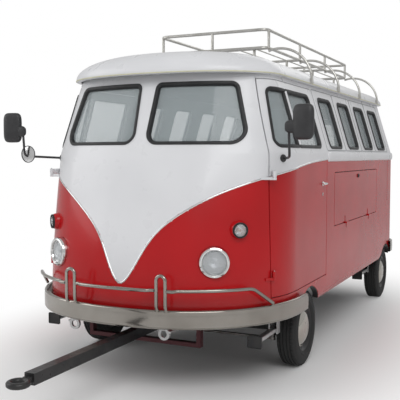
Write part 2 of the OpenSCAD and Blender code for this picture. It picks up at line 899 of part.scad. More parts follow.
// axles and springs
axle_w = 80;
spring_w = 50;
spring_l = 700;
spring_t = 34;
spring_sag = 62;
hub_clear = 0.05;
stub_r = 20;
kingpin_r = 14;
knuckle_h = 110;
knuckle_r = 26;
yoke_t = 24;

// Leaf spring pack between the axle at y and the chassis rails
module leaf_spring(y) {
    top = hub_z + axle_w / 2;
    steps = 10;
    for (s = [-1, 1]) translate([s * rail_x + spring_w / 2, y, 0]) rotate([0, -90,
        0]) linear_extrude(spring_w) polygon(concat(
        [for (i = [-steps : steps]) [top + 0.2 + spring_sag * pow(i / steps, 2), spring_l / 2 * i / steps]],
        [for (i = [steps : -1 : -steps]) [top + spring_sag * pow(i / steps,
            2) + (spring_t - 14 * abs(i / steps)), spring_l / 2 * i / steps]]));
    for (s = [-1, 1], e = [-1, 1]) block([s * rail_x - spring_w / 2, y + e * (spring_l / 2 - 20) - 20,
        top + spring_sag + 6],
        [s * rail_x + spring_w / 2, y + e * (spring_l / 2 - 20) + 20, rail_low]);
}

module front_axle() {
    color(black) union() {
        block([-kingpin_x + knuckle_r + 14, front_axle_y - axle_w / 2, hub_z - axle_w / 2],
            [kingpin_x - knuckle_r - 14, front_axle_y + axle_w / 2, hub_z + axle_w / 2]);
        leaf_spring(front_axle_y);
        both_sides() {
            for (s = [-1, 1]) difference() {
                z = hub_z + s * (knuckle_h / 2 + yoke_t / 2 + 1);
                union() {
                    translate([kingpin_x, front_axle_y, z - yoke_t / 2]) cylinder(r = knuckle_r,
                        h = yoke_t, $fn = 40);
                    block([kingpin_x - knuckle_r - 34, front_axle_y - 26, z - yoke_t / 2],
                        [kingpin_x, front_axle_y + 26, z + yoke_t / 2]);
                }
            }
            block([kingpin_x - knuckle_r - 34, front_axle_y - 26, hub_z - knuckle_h / 2 - yoke_t],
                [kingpin_x - knuckle_r - 10, front_axle_y + 26, hub_z + knuckle_h / 2 + yoke_t]);
            translate([kingpin_x, front_axle_y, hub_z - knuckle_h / 2 - yoke_t]) cylinder(r = kingpin_r,
                h = knuckle_h + 2 * yoke_t, $fn = 40);
        }
        // pivot for the drawbar
        translate([0, front_axle_y, hub_z + axle_w / 2]) cylinder(r = 60, h = 5, $fn = 48);
        translate([0, front_axle_y, hub_z]) cylinder(r = drawbar_pin_r,
            h = drawbar_z + drawbar_w / 2 + 14 - hub_z, $fn = 48);
    }
}
drawbar_pin_r = 18;
drawbar_z = hub_z + axle_w / 2 + 6 + drawbar_w / 2;

module rear_axle() {
    color(black) union() {
        block([-wheel_x + 92, rear_axle_y - axle_w / 2, hub_z - axle_w / 2], [wheel_x - 92,
            rear_axle_y + axle_w / 2, hub_z + axle_w / 2]);
        leaf_spring(rear_axle_y);
        both_sides() stub(wheel_x - 100, rear_axle_y);
    }
}

// Stub axle from x out to the wheel, at y
module stub(x, y) {
    translate([x, y, hub_z]) rotate([0, 90, 0]) cylinder(r = stub_r, h = wheel_x + 40 - x, $fn = 40);
}

arm_t = 18;
arm_z = hub_z - 42;
rod_r = 11;
rod_pin_r = 7;

// Left steering knuckle with its stub axle and its steering arm
module knuckle() {
    difference() {
        union() {
            translate([kingpin_x, front_axle_y, hub_z - knuckle_h / 2]) cylinder(r = knuckle_r,
                h = knuckle_h, $fn = 40);
            translate([kingpin_x, front_axle_y, hub_z]) rotate([0, 90, 0]) cylinder(r = stub_r + 8,
                h = 44, $fn = 40);
            stub(kingpin_x, front_axle_y);
            block([kingpin_x - 12, front_axle_y - steer_arm, arm_z], [kingpin_x + 12, front_axle_y,
                arm_z + arm_t]);
            translate([kingpin_x, front_axle_y - steer_arm, arm_z]) cylinder(r = 18, h = arm_t, $fn = 40);
            translate([kingpin_x, front_axle_y - steer_arm, arm_z - 30]) cylinder(r = rod_pin_r, h = 31,
                $fn = 40);
        }
        translate([kingpin_x, front_axle_y, hub_z - knuckle_h]) cylinder(r = kingpin_r + pin_fit,
            h = 2 * knuckle_h, $fn = 40);
    }
}

module left_knuckle() {
    color(black) knuckle();
}

module right_knuckle() {
    color(black) mirror([1, 0, 0]) knuckle();
}

// Track rod that ties both steering arms to the drawbar
module track_rod() {
    z = arm_z - 16;
    color(steel) difference() {
        union() {
            translate([-kingpin_x, front_axle_y - steer_arm, z]) rotate([0, 90, 0]) cylinder(r = rod_r,
                h = 2 * kingpin_x, $fn = 32);
            for (x = [-kingpin_x, 0, kingpin_x]) translate([x, front_axle_y - steer_arm,
                z - 13]) cylinder(r = 20, h = 26, $fn = 40);
        }
        for (x = [-kingpin_x, 0, kingpin_x]) translate([x, front_axle_y - steer_arm,
            z - 20]) cylinder(r = rod_pin_r + pin_fit, h = 40, $fn = 40);
    }
}

module drawbar() {
    z0 = drawbar_z - drawbar_w / 2;
    color(black) difference() {
        union() {
            block([-drawbar_w / 2, eye_y + eye_r + 26, z0], [drawbar_w / 2, front_axle_y, z0 + drawbar_w]);
            translate([0, front_axle_y, z0]) cylinder(r = 55, h = drawbar_w, $fn = 48);
            // lug and pin for the track rod
            block([-14, front_axle_y - steer_arm - 14, arm_z + 4], [14, front_axle_y - steer_arm + 14,
                z0 + 1]);
            translate([0, front_axle_y - steer_arm, arm_z - 30]) cylinder(r = rod_pin_r, h = 36, $fn = 40);
            // eye and its shank
            translate([0, eye_y, drawbar_z]) rotate_extrude($fn = 64) eye_section();
            block([-24, eye_y + eye_r - 8, drawbar_z - 17], [24, eye_y + eye_r + 27, drawbar_z + 17]);
        }
        translate([0, front_axle_y, z0 - 1]) cylinder(r = drawbar_pin_r + pin_fit, h = drawbar_w + 2,
            $fn = 48);
    }
}

// Section of the towing eye, flat on the inside
module eye_section() {
    w = eye_r - eye_bore_r;
    translate([eye_bore_r + w / 2, 0]) intersection() {
        circle(d = w * 1.08, $fn = 32);
        square([w, w * 1.08], center = true);
    }
}

// tyre and wheel, on the left, about the origin with the outside towards +X
bead_r = rim_r;
tread_w = 128;

module tyre_at(y) {
    translate([wheel_x, y, hub_z]) rotate([0, 90, 0]) rotate_extrude($fn = 96) polygon([
        [bead_r, -tyre_w / 2 + 22], [bead_r + 22, -tyre_w / 2 + 4], [bead_r + 55, -tyre_w / 2],
        [bead_r + 88, -tyre_w / 2 + 6], [tyre_r - 12, -tread_w / 2 - 4], [tyre_r - 3, -tread_w / 2 + 8],
            [tyre_r, -tread_w / 2 + 28],
        [tyre_r, tread_w / 2 - 28], [tyre_r - 3, tread_w / 2 - 8], [tyre_r - 12, tread_w / 2 + 4],
        [bead_r + 88, tyre_w / 2 - 6], [bead_r + 55, tyre_w / 2], [bead_r + 22, tyre_w / 2 - 4], [bead_r,
            tyre_w / 2 - 22]]);
}

cap_r = 150;
cap_rise = 52;

// Steel wheel with its hub and domed cap
module wheel_at(y) {
    translate([wheel_x, y, hub_z]) rotate([0, 90, 0]) rotate_extrude($fn = 96) polygon(concat(
        [[stub_r + hub_clear, -60], [46, -60], [46, 10], [bead_r - 14, 18], [bead_r - 14, -66],
            [bead_r - 6, -70], [bead_r - 0.2, -60],
            [bead_r - 0.2, 60], [bead_r - 6, 70], [bead_r - 14, 66], [bead_r - 16, 34]],
        [for (i = [0 : 8]) let (t = 90 * i / 8) [cap_r * cos(t), 34 + cap_rise * sin(t)]],
        [[0, 46], [stub_r + hub_clear, 46]]));
}

module front_left_tyre() {
    color(black) tyre_at(front_axle_y);
}

module front_left_wheel() {
    color(steel) wheel_at(front_axle_y);
}

module front_right_tyre() {
    color(black) mirror([1, 0, 0]) tyre_at(front_axle_y);
}

module front_right_wheel() {
    color(steel) mirror([1, 0, 0]) wheel_at(front_axle_y);
}

module rear_left_tyre() {
    color(black) tyre_at(rear_axle_y);
}

module rear_left_wheel() {
    color(steel) wheel_at(rear_axle_y);
}

module rear_right_tyre() {
    color(black) mirror([1, 0, 0]) tyre_at(rear_axle_y);
}

module rear_right_wheel() {
    color(steel) mirror([1, 0, 0]) wheel_at(rear_axle_y);
}

// mirror on the cab door: head, arm and foot
mirror_x = half_w + 200;
mirror_y = seam_low_y - 160;
mirror_z = 1870;
mirror_w = 150;
mirror_h = 235;
mirror_d = 70;
mirror_yaw = -12;
mirror_foot_y = seam_low_y + 150;
mirror_foot_z = 1630;
mirror_foot_r = 28;
mirror_arm_r = 9;
mirror_steps = 8;
mirror_foot = [skin_x(mirror_foot_y, mirror_foot_z), mirror_foot_y, mirror_foot_z];
mirror_foot_turn = skin_turn(mirror_foot_y, mirror_foot_z);
mirror_hang = [mirror_x - 30, mirror_y + 8, mirror_z - mirror_h / 2 + 25];
mirror_bend = [mirror_x - 30, mirror_y + 60, mirror_foot_z];

// Point of the mirror's arm at share t from its foot to its head
function arm_point(t) = let (start = mirror_foot + 16 * [cos(mirror_foot_turn), -sin(mirror_foot_turn), 0])
    (1 - t) * (1 - t) * start + 2 * t * (1 - t) * mirror_bend + t * t * mirror_hang;

module door_mirror() {
    translate([mirror_x, mirror_y, mirror_z]) rotate([0, 0, mirror_yaw]) hull()
        for (x = [-1, 1], z = [-1, 1]) {
            translate([x * (mirror_w / 2 - 30), 0, z * (mirror_h / 2 - 30)]) rotate([-90, 0, 0])
                cylinder(r = 30, h = mirror_d / 2, $fn = 24);
            translate([x * (mirror_w / 2 - 36), -mirror_d / 2 + 8,
                z * (mirror_h / 2 - 36)]) sphere(r = 18, $fn = 16);
        }
    tube_chain([for (i = [0 : mirror_steps]) arm_point(i / mirror_steps)], mirror_arm_r);
    translate(mirror_foot) rotate([0, 90, -mirror_foot_turn]) translate([0, 0, 1.3])
        cylinder(r = mirror_foot_r, h = 16, $fn = 32);
}

// small round mirror part of the way along the arm
convex_at = 0.55;
convex_r = 68;
convex_t = 26;

module left_mirror() {
    color(black) union() {
        door_mirror();
    }
}

module right_mirror() {
    color(black) mirror([1, 0, 0]) union() {
        door_mirror();
        translate(arm_point(convex_at) + [0, -convex_t / 2, 0]) rotate([90, 0, 0]) cylinder(r = convex_r,
            h = convex_t, $fn = 48);
    }
}

// corner steadies
steady_x = 850;
steady_z = 360;
steady_pin_r = 10;
front_steady_y = front_axle_y - 410;
rear_steady_y = rear_axle_y - 350;
steady_leg_w = 50;
steady_leg_h = 34;

// Leg of a steady on the left, folded forward from its pivot at y
module steady(y) {
    difference() {
        union() {
            block([steady_x - steady_leg_w / 2, y - steady_l, steady_z - steady_leg_h / 2],
                [steady_x + steady_leg_w / 2, y, steady_z + steady_leg_h / 2]);
            translate([steady_x - steady_leg_w / 2, y, steady_z]) rotate([0, 90, 0])
                cylinder(r = steady_leg_h / 2 + 4, h = steady_leg_w, $fn = 40);
            block([steady_x - 55, y - steady_l - 12, steady_z - 45], [steady_x + 55, y - steady_l,
                steady_z + 45]);
        }
        translate([steady_x - steady_leg_w, y, steady_z]) rotate([0, 90, 0])
            cylinder(r = steady_pin_r + pin_fit, h = 2 * steady_leg_w, $fn = 40);
    }
}

// Bracket and pin of a steady on the left
module steady_bracket(y) {
    for (s = [-1, 1]) block([steady_x + s * (steady_leg_w / 2 + 5) - 4, y - 30, steady_z - 26],
        [steady_x + s * (steady_leg_w / 2 + 5) + 4, y + 30, floor_z - 62]);
    block([steady_x - 34, y - 30, floor_z - 74], [steady_x + 34, y + 30, floor_z - 62]);
    translate([steady_x - steady_leg_w / 2 - 9, y, steady_z]) rotate([0, 90, 0])
        cylinder(r = steady_pin_r, h = steady_leg_w + 18, $fn = 40);
}

module steady_brackets() {
    color(steel) both_sides() for (y = [front_steady_y, rear_steady_y]) steady_bracket(y);
}

module front_left_steady() {
    color(black) steady(front_steady_y);
}

module front_right_steady() {
    color(black) mirror([1, 0, 0]) steady(front_steady_y);
}

module rear_left_steady() {
    color(black) steady(rear_steady_y);
}

module rear_right_steady() {
    color(black) mirror([1, 0, 0]) steady(rear_steady_y);
}

// The origin is on the ground under the middle of the whole vehicle
front_end = eye_y - eye_r;
rear_end = tail_y + rear_bumper_gap;
module in_frame() {
    translate([0, -(front_end + rear_end) / 2, 0]) children();
}

in_frame() chassis_frame();
in_frame() floor_pan();
in_frame() nose_panel();
in_frame() left_side_panel();
in_frame() right_side_panel();
in_frame() tail_panel();
in_frame() roof_panel();
in_frame() fixed_glass();
in_frame() hinge_pins();
in_frame() front_bumper();
in_frame() bumper_rails();
in_frame() overriders();
in_frame() rear_bumper();
in_frame() front_lamps();
in_frame() tail_lamps();
in_frame() tow_eyes();
in_frame() roof_rack();
in_frame() roof_hoops();
in_frame() front_axle();
in_frame() rear_axle();
in_frame() steady_brackets();
in_frame() drawbar_guide();
in_frame() drawbar();
in_frame() track_rod();
in_frame() left_knuckle();
in_frame() right_knuckle();
in_frame() front_left_tyre();
in_frame() front_left_wheel();
in_frame() front_right_tyre();
in_frame() front_right_wheel();
in_frame() rear_left_tyre();
in_frame() rear_left_wheel();
in_frame() rear_right_tyre();
in_frame() rear_right_wheel();
in_frame() left_door();
in_frame() left_door_glass();
in_frame() left_door_fittings();
in_frame() left_mirror();
in_frame() right_door();
in_frame() right_door_glass();
in_frame() right_door_fittings();
in_frame() right_mirror();
in_frame() left_flap();
in_frame() right_flap();
in_frame() rear_door();
in_frame() rear_door_glass();
in_frame() rear_door_fittings();
in_frame() front_left_steady();
in_frame() front_right_steady();
in_frame() rear_left_steady();
in_frame() rear_right_steady();
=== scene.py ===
"""Looks of a towed food trailer whose body is a classic split-windscreen bus.

Every piece is a surface worked out with numpy in the row frame, in metres:
the nose points along -Y, the left side is +X and the floor is at z = 0.
"""
import json
import logging
import math
from dataclasses import dataclass, field, replace
from enum import Enum
from typing import Callable, Sequence

import bpy
import numpy as np
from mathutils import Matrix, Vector


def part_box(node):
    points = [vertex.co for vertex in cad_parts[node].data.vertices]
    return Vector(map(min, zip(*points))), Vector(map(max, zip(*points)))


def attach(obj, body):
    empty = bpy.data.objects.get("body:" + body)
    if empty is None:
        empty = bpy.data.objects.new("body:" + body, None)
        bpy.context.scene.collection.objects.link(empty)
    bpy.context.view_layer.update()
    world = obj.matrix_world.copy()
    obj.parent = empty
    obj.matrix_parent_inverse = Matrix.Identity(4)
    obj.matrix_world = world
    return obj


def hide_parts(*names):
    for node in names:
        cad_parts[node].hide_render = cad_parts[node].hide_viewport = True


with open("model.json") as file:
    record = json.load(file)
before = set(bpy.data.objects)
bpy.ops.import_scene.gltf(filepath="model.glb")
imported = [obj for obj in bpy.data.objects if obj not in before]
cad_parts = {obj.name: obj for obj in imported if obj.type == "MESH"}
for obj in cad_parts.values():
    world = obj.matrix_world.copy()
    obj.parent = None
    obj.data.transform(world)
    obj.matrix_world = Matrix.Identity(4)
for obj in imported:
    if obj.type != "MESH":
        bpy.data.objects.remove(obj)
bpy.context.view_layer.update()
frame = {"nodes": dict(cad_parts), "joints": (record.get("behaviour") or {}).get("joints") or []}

logging.basicConfig(level=logging.INFO, format="%(message)s")
LOG = logging.getLogger("trailer")
Array = np.ndarray
Rows = Sequence[Sequence[float]]
Surface = Callable[[Array, Array], Array]
Tree = bpy.types.NodeTree
Socket = bpy.types.NodeSocket

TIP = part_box("nose_panel")[0].y
UP = np.array([0.0, 0.0, 1.0])
# Turns whose columns are a shell's new axes: its own +Z then points to the left, ahead or back.
LEFT_OUT = np.array([[0.0, 0.0, 1.0], [1.0, 0.0, 0.0], [0.0, 1.0, 0.0]])
AHEAD_OUT = np.array([[1.0, 0.0, 0.0], [0.0, 0.0, -1.0], [0.0, 1.0, 0.0]])
BACK_OUT = np.array([[-1.0, 0.0, 0.0], [0.0, 0.0, 1.0], [0.0, 1.0, 0.0]])
HANDS = ("left", "right")
EDGE_BEVEL = 0.001


# ---------------------------------------------------------------- finishes

class Kind(Enum):
    """How a finish answers light."""

    PAINT = "paint"
    METAL = "metal"
    RUBBER = "rubber"
    PLASTIC = "plastic"
    GLASS = "glass"
    LENS = "lens"
    BOARD = "board"


EVEN_VALUES: dict[Kind, dict[str, float]] = {
    Kind.METAL: {"Metallic": 1.0},
    Kind.PAINT: {"Coat Weight": 0.15, "Coat Roughness": 0.04, "Specular IOR Level": 0.3},
    Kind.RUBBER: {"Specular IOR Level": 0.35},
    Kind.GLASS: {"Transmission Weight": 1.0, "IOR": 1.1, "Coat Weight": 1.0, "Coat Roughness": 0.02},
    Kind.LENS: {"Transmission Weight": 0.75, "IOR": 1.3},
}
DUST_COLOR = (0.30, 0.26, 0.22, 1.0)
DUST_ROUGHNESS = 0.85


def add_node(tree: Tree, kind: str, inputs: dict[str | int, object], **settings: object) -> bpy.types.Node:
    """Adds a shader node; an input given as a socket is linked, and any other value is set.

    Args:
        tree: the node tree it goes into.
        kind: the node's type, after "ShaderNode".
        inputs: its inputs by name or number.
        settings: its own settings, made before the inputs.

    Returns:
        The node.
    """
    node = tree.nodes.new("ShaderNode" + kind)
    for name, value in settings.items():
        setattr(node, name, value)
    for key, value in inputs.items():
        if isinstance(value, Socket):
            tree.links.new(value, node.inputs[key])
        else:
            node.inputs[key].default_value = value
    return node


def noise(tree: Tree, spot: Socket, scale: float, detail: float) -> Socket:
    """Returns the value of a noise of that scale and detail, read at spot."""
    return add_node(tree, "TexNoise", {"Scale": scale, "Detail": detail, "Vector": spot}).outputs["Fac"]


def ramp(tree: Tree, value: Socket, low: float, high: float, to_low: float = 0.0,
         to_high: float = 1.0) -> Socket:
    """Maps low..high to to_low..to_high, and holds beyond.

    Args:
        tree: the node tree.
        value: the value that is mapped.
        low: where the result is to_low.
        high: where the result is to_high.
        to_low: the first result.
        to_high: the last result.

    Returns:
        The mapped value.
    """
    return add_node(tree, "MapRange", {"From Min": low, "From Max": high, "To Min": to_low, "To Max": to_high,
                                       "Value": value}).outputs["Result"]


def math_node(tree: Tree, operation: str, first: Socket, second: Socket) -> Socket:
    """Returns the result of a sum or product of two values, by the operation's name."""
    return add_node(tree, "Math", {0: first, 1: second}, operation=operation).outputs[0]


@dataclass(frozen=True)
class Finish:
    """One finish of the trailer: two tones, its gloss, its grain, its bump and its dust."""

    name: str
    slot: str
    kind: Kind
    color: tuple[float, float, float]
    shade: tuple[float, float, float]
    rough: tuple[float, float] = (0.25, 0.4)
    grain: float = 6.0
    bump: float = 0.1
    bump_scale: float = 300.0
    dust: float = 0.0

    def material(self) -> bpy.types.Material:
        """Builds the node material once.

        The colour is a noise blend of color and shade, and the roughness a finer
        noise between its two values. The bump is at most a millimetre deep.

        Returns:
            The material of that name.
        """
        mat = bpy.data.materials.get(self.name)
        if mat:
            return mat
        mat = bpy.data.materials.new(self.name)
        mat.use_nodes = True
        tree = mat.node_tree
        shader = tree.nodes["Principled BSDF"]
        spot = tree.nodes.new("ShaderNodeTexCoord").outputs["Object"]
        cloud = noise(tree, spot, self.grain, 1.0 if self.kind is Kind.PAINT else 5.0)
        tones = {"A": (*self.color, 1.0), "B": (*self.shade, 1.0), "Factor": ramp(tree, cloud, 0.35, 0.7)}
        color = add_node(tree, "Mix", tones, data_type="RGBA").outputs["Result"]
        rough = ramp(tree, noise(tree, spot, self.grain * 3.7, 4.0), 0.3, 0.7, *self.rough)
        if self.dust > 0.0:
            color, rough = self.dusty(tree, spot, color, rough)
        tree.links.new(color, shader.inputs["Base Color"])
        tree.links.new(rough, shader.inputs["Roughness"])
        if self.bump > 0.0:
            height = noise(tree, spot, self.bump_scale, 3.0)
            lift = add_node(tree, "Bump", {"Strength": self.bump, "Distance": 0.001, "Height": height})
            tree.links.new(lift.outputs["Normal"], shader.inputs["Normal"])
        for name, value in EVEN_VALUES.get(self.kind, {}).items():
            shader.inputs[name].default_value = value
        return mat

    def dusty(self, tree: Tree, spot: Socket, color: Socket, rough: Socket) -> tuple[Socket, Socket]:
        """Lays road dust over the lower parts.

        The cover is dust times the fall of height from 0.95 m to 0.15 m times a
        broken noise.

        Args:
            tree: the node tree.
            spot: the coordinates.
            color: the clean colour.
            rough: the clean roughness.

        Returns:
            The dusty colour and roughness.
        """
        height = add_node(tree, "SeparateXYZ", {"Vector": spot}).outputs["Z"]
        patch = ramp(tree, noise(tree, spot, 9.0, 8.0), 0.3, 0.75)
        cover = math_node(tree, "MULTIPLY", ramp(tree, height, 0.95, 0.15), patch)
        amount = ramp(tree, cover, 0.0, 1.0, 0.0, self.dust)
        mixed = add_node(tree, "Mix", {"Factor": amount, "A": color, "B": DUST_COLOR}, data_type="RGBA")
        dull = add_node(tree, "Mix", {"Factor": amount, "A": rough, "B": DUST_ROUGHNESS})
        return mixed.outputs["Result"], dull.outputs["Result"]


RED = Finish("red_gloss_paint", "red_paint", Kind.PAINT, (0.45, 0.005, 0.008), (0.39, 0.004, 0.006),
             (0.2, 0.26), 2.0, 0.03, 3.0, 0.08)
WHITE = Finish("white_gloss_paint", "white_paint", Kind.PAINT, (0.72, 0.725, 0.745), (0.68, 0.685, 0.705),
               (0.26, 0.34), 2.5, 0.01, 1.5, 0.08)
CREAM = Finish("cream_edge_sealer", "white_paint", Kind.PLASTIC, (0.66, 0.65, 0.46), (0.56, 0.55, 0.38),
               (0.4, 0.6), 12.0, 0.15, 90.0)
LINING = Finish("pale_lining_board", "white_paint", Kind.BOARD, (0.50, 0.51, 0.52), (0.42, 0.43, 0.44),
                (0.5, 0.65), 3.0, 0.12, 220.0)
CHROME = Finish("polished_steel", "polished_steel", Kind.METAL, (0.66, 0.65, 0.62), (0.54, 0.52, 0.49),
                (0.08, 0.16), 5.0, 0.03, 60.0, 0.1)
BUMPER = Finish("bumper_steel", "polished_steel", Kind.METAL, (0.37, 0.35, 0.32), (0.27, 0.25, 0.225),
                (0.10, 0.22), 3.0, 0.04, 40.0, 0.12)
BRUSHED = Finish("brushed_rack_tube", "bright_fittings", Kind.METAL, (0.62, 0.61, 0.58), (0.48, 0.47, 0.44),
                 (0.25, 0.42), 9.0, 0.12, 160.0)
CAP_STEEL = Finish("domed_cap_steel", "polished_cap", Kind.METAL, (0.50, 0.48, 0.44), (0.45, 0.43, 0.39),
                   (0.05, 0.10), 3.0, 0.02, 6.0, 0.04)
SILVER = Finish("bright_trim", "bright_fittings", Kind.METAL, (0.80, 0.80, 0.80), (0.68, 0.68, 0.68),
                (0.12, 0.22), 9.0, 0.04, 90.0)
GALVANISED = Finish("galvanised_steel", "galvanised_steel", Kind.METAL, (0.50, 0.51, 0.52),
                    (0.33, 0.34, 0.35), (0.35, 0.6), 24.0, 0.2, 120.0, 0.15)
SEAL = Finish("black_rubber_seal", "mirror_black", Kind.RUBBER, (0.018, 0.019, 0.02), (0.03, 0.03, 0.032),
              (0.42, 0.6), 14.0, 0.25, 260.0)
MOULDED = Finish("black_moulded_plastic", "mirror_black", Kind.PLASTIC, (0.022, 0.022, 0.024),
                 (0.032, 0.032, 0.034), (0.38, 0.52), 16.0, 0.5, 900.0)
CHASSIS = Finish("black_chassis_paint", "chassis_black", Kind.PAINT, (0.010, 0.011, 0.013),
                 (0.020, 0.020, 0.021), (0.25, 0.45), 10.0, 0.12, 110.0, 0.08)
MAROON = Finish("maroon_paint", "maroon_paint", Kind.PAINT, (0.085, 0.012, 0.018), (0.06, 0.010, 0.014),
                (0.35, 0.5), 8.0, 0.15, 120.0, 0.08)
TYRE = Finish("tyre_rubber", "tyre_rubber", Kind.RUBBER, (0.014, 0.014, 0.015), (0.024, 0.023, 0.022),
              (0.62, 0.85), 18.0, 0.3, 320.0, 0.10)
GLASS = Finish("window_glass", "window_glass", Kind.GLASS, (0.80, 0.85, 0.87), (0.76, 0.82, 0.84),
               (0.0, 0.03), 1.5, 0.0)
CLEAR = Finish("clear_lamp_lens", "lamp_chrome", Kind.LENS, (0.9, 0.92, 0.93), (0.84, 0.86, 0.88),
               (0.04, 0.12), 9.0, 0.05, 60.0)
RED_LENS = Finish("red_lamp_lens", "red_lens", Kind.LENS, (0.55, 0.012, 0.015), (0.42, 0.01, 0.012),
                  (0.08, 0.18), 9.0, 0.08, 90.0)
AMBER = Finish("amber_lamp_lens", "red_lens", Kind.LENS, (0.75, 0.22, 0.02), (0.62, 0.18, 0.02),
               (0.08, 0.18), 9.0, 0.08, 90.0)
BOARD = Finish("floor_board", "floor_board", Kind.BOARD, (0.16, 0.155, 0.15), (0.10, 0.098, 0.095),
               (0.5, 0.7), 12.0, 0.3, 180.0)
BARE = Finish("worn_steel", "galvanised_steel", Kind.METAL, (0.30, 0.29, 0.28), (0.17, 0.15, 0.14),
              (0.4, 0.65), 20.0, 0.3, 90.0, 0.15)
# A grey for the lines round the side windows: the painted shade of their grooves.
GROOVE_SHADE = Finish("grey_sealant_line", "white_paint", Kind.PLASTIC, (0.30, 0.31, 0.32), (0.24, 0.25, 0.26),
                 (0.5, 0.65), 14.0, 0.1, 200.0)


# ---------------------------------------------------------------- meshes

@dataclass
class Shell:
    """Points, faces and finish numbers of a piece; a face of three has -1 last."""

    points: Array
    faces: Array
    finish: Array

    @staticmethod
    def join(shells: Sequence["Shell"]) -> "Shell":
        """Puts several shells into one.

        Args:
            shells: the shells.

        Returns:
            One shell with all their points and faces.
        """
        step = np.cumsum([0] + [len(s.points) for s in shells])
        faces = [np.where(s.faces < 0, -1, s.faces + n) for s, n in zip(shells, step)]
        return Shell(np.vstack([s.points for s in shells]), np.vstack(faces),
                     np.concatenate([s.finish for s in shells]))

    def mirrored(self) -> "Shell":
        """The shell on the other side of x = 0, still facing outwards.

        Returns:
            The mirrored shell.
        """
        turned = self.faces[:, ::-1].copy()
        three = turned[:, 0] < 0
        turned[three] = np.roll(turned[three], -1, axis=1)
        return Shell(self.points * (-1.0, 1.0, 1.0), turned, self.finish.copy())

    def both(self) -> "Shell":
        """Returns the shell with its mirror image."""
        return Shell.join([self, self.mirrored()])

    def on(self, hand: str) -> "Shell":
        """Returns a left shell on the hand that is asked for."""
        return self if hand == "left" else self.mirrored()

    def painted(self, number: int) -> "Shell":
        """Returns the shell with one finish number all over."""
        return Shell(self.points, self.faces, np.full(len(self.faces), number))

    def moved(self, matrix: Array, origin: Sequence[float]) -> "Shell":
        """Returns the shell turned by a matrix whose columns are its new axes, then shifted to origin."""
        return Shell(self.points @ np.asarray(matrix).T + np.asarray(origin), self.faces, self.finish)

    def shifted(self, origin: Sequence[float]) -> "Shell":
        """Returns the shell with its own origin at that place."""
        return Shell(self.points + np.asarray(origin), self.faces, self.finish)

    def piece(self, name: str, body: str, finishes: Sequence[Finish], crease: float = 30.0,
              nodes: Sequence[str] = (), bevel: float = 0.0) -> None:
        """Makes the shell an object that rides on a body.

        Args:
            name: the piece's name.
            body: the CAD body that it rides on.
            finishes: what its finish numbers stand for.
            crease: edges sharper than this many degrees stay sharp.
            nodes: the CAD nodes that it stands for.
            bevel: width of a bevel on its sharp edges, or 0.
        """
        mesh = bpy.data.meshes.new(name)
        sizes = np.where(self.faces[:, 3] < 0, 3, 4)
        loops = self.faces[self.faces >= 0]
        mesh.vertices.add(len(self.points))
        mesh.vertices.foreach_set("co", self.points.astype(np.float32).ravel())
        mesh.loops.add(len(loops))
        mesh.loops.foreach_set("vertex_index", loops.astype(np.int32))
        mesh.polygons.add(len(self.faces))
        mesh.polygons.foreach_set("loop_start", (np.cumsum(sizes) - sizes).astype(np.int32))
        mesh.polygons.foreach_set("material_index", self.finish.astype(np.int32))
        mesh.update(calc_edges=True)
        mesh.validate()
        mesh.polygons.foreach_set("use_smooth", np.ones(len(mesh.polygons), bool))
        mesh.set_sharp_from_angle(angle=math.radians(crease))
        for finish in finishes:
            mesh.materials.append(finish.material())
        obj = bpy.data.objects.new(name, mesh)
        bpy.context.scene.collection.objects.link(obj)
        if bevel > 0.0:
            tool = obj.modifiers.new("edge", "BEVEL")
            tool.width, tool.segments, tool.limit_method = bevel, 2, "ANGLE"
            tool.angle_limit = math.radians(40.0)
        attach(obj, body)
        if nodes:
            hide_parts(*nodes)
        LOG.info("%s: %d faces on %s", name, len(self.faces), body)


def grid(points: Array, wrap_u: bool = False, wrap_v: bool = False) -> Shell:
    """Joins a grid of points into four-sided faces that face along du x dv.

    Args:
        points: an array of (nu, nv, 3).
        wrap_u: whether the last row meets the first.
        wrap_v: whether the last column meets the first.

    Returns:
        The shell.
    """
    nu, nv = points.shape[:2]
    i, j = np.meshgrid(np.arange(nu if wrap_u else nu - 1), np.arange(nv if wrap_v else nv - 1),
                       indexing="ij")
    i, j = i.ravel(), j.ravel()
    k, m = (i + 1) % nu, (j + 1) % nv
    faces = np.stack([i * nv + j, k * nv + j, k * nv + m, i * nv + m], axis=1)
    return Shell(points.reshape(-1, 3), faces, np.zeros(len(faces), int))


def cap(ring: Array) -> Shell:
    """Closes a ring with a fan about its mean, facing the way the ring turns.

    Args:
        ring: the ring's points (n, 3).

    Returns:
        The fan.
    """
    n = len(ring)
    i = np.arange(n)
    faces = np.stack([i, (i + 1) % n, np.full(n, n), np.full(n, -1)], axis=1)
    return Shell(np.vstack([ring, ring.mean(0)]), faces, np.zeros(n, int))


def unit(v: Array) -> Array:
    """Returns the vectors at length one."""
    return v / np.maximum(np.linalg.norm(v, axis=-1, keepdims=True), 1e-12)


def weld(shell: Shell, within: float = 1e-6) -> Shell:
    """Merges points that lie together, and drops faces that collapse.

    Args:
        shell: the shell.
        within: how close points are merged.

    Returns:
        The welded shell.
    """
    _, first, back = np.unique(np.round(shell.points / within).astype(np.int64), axis=0,
                               return_index=True, return_inverse=True)
    faces = np.where(shell.faces < 0, -1, back.ravel()[shell.faces])
    same = faces == np.roll(faces, -1, axis=1)
    four, three = same.sum(1) == 0, same.sum(1) == 1
    kept, marks = faces[four], shell.finish[four]
    if three.any():
        order = (np.argmax(same[three], axis=1)[:, None] + 1 + np.arange(3)[None]) % 4
        cut = np.take_along_axis(faces[three], order, axis=1)
        kept = np.vstack([kept, np.hstack([cut, np.full((len(cut), 1), -1)])])
        marks = np.concatenate([marks, shell.finish[three]])
    return Shell(shell.points[first], kept, marks)


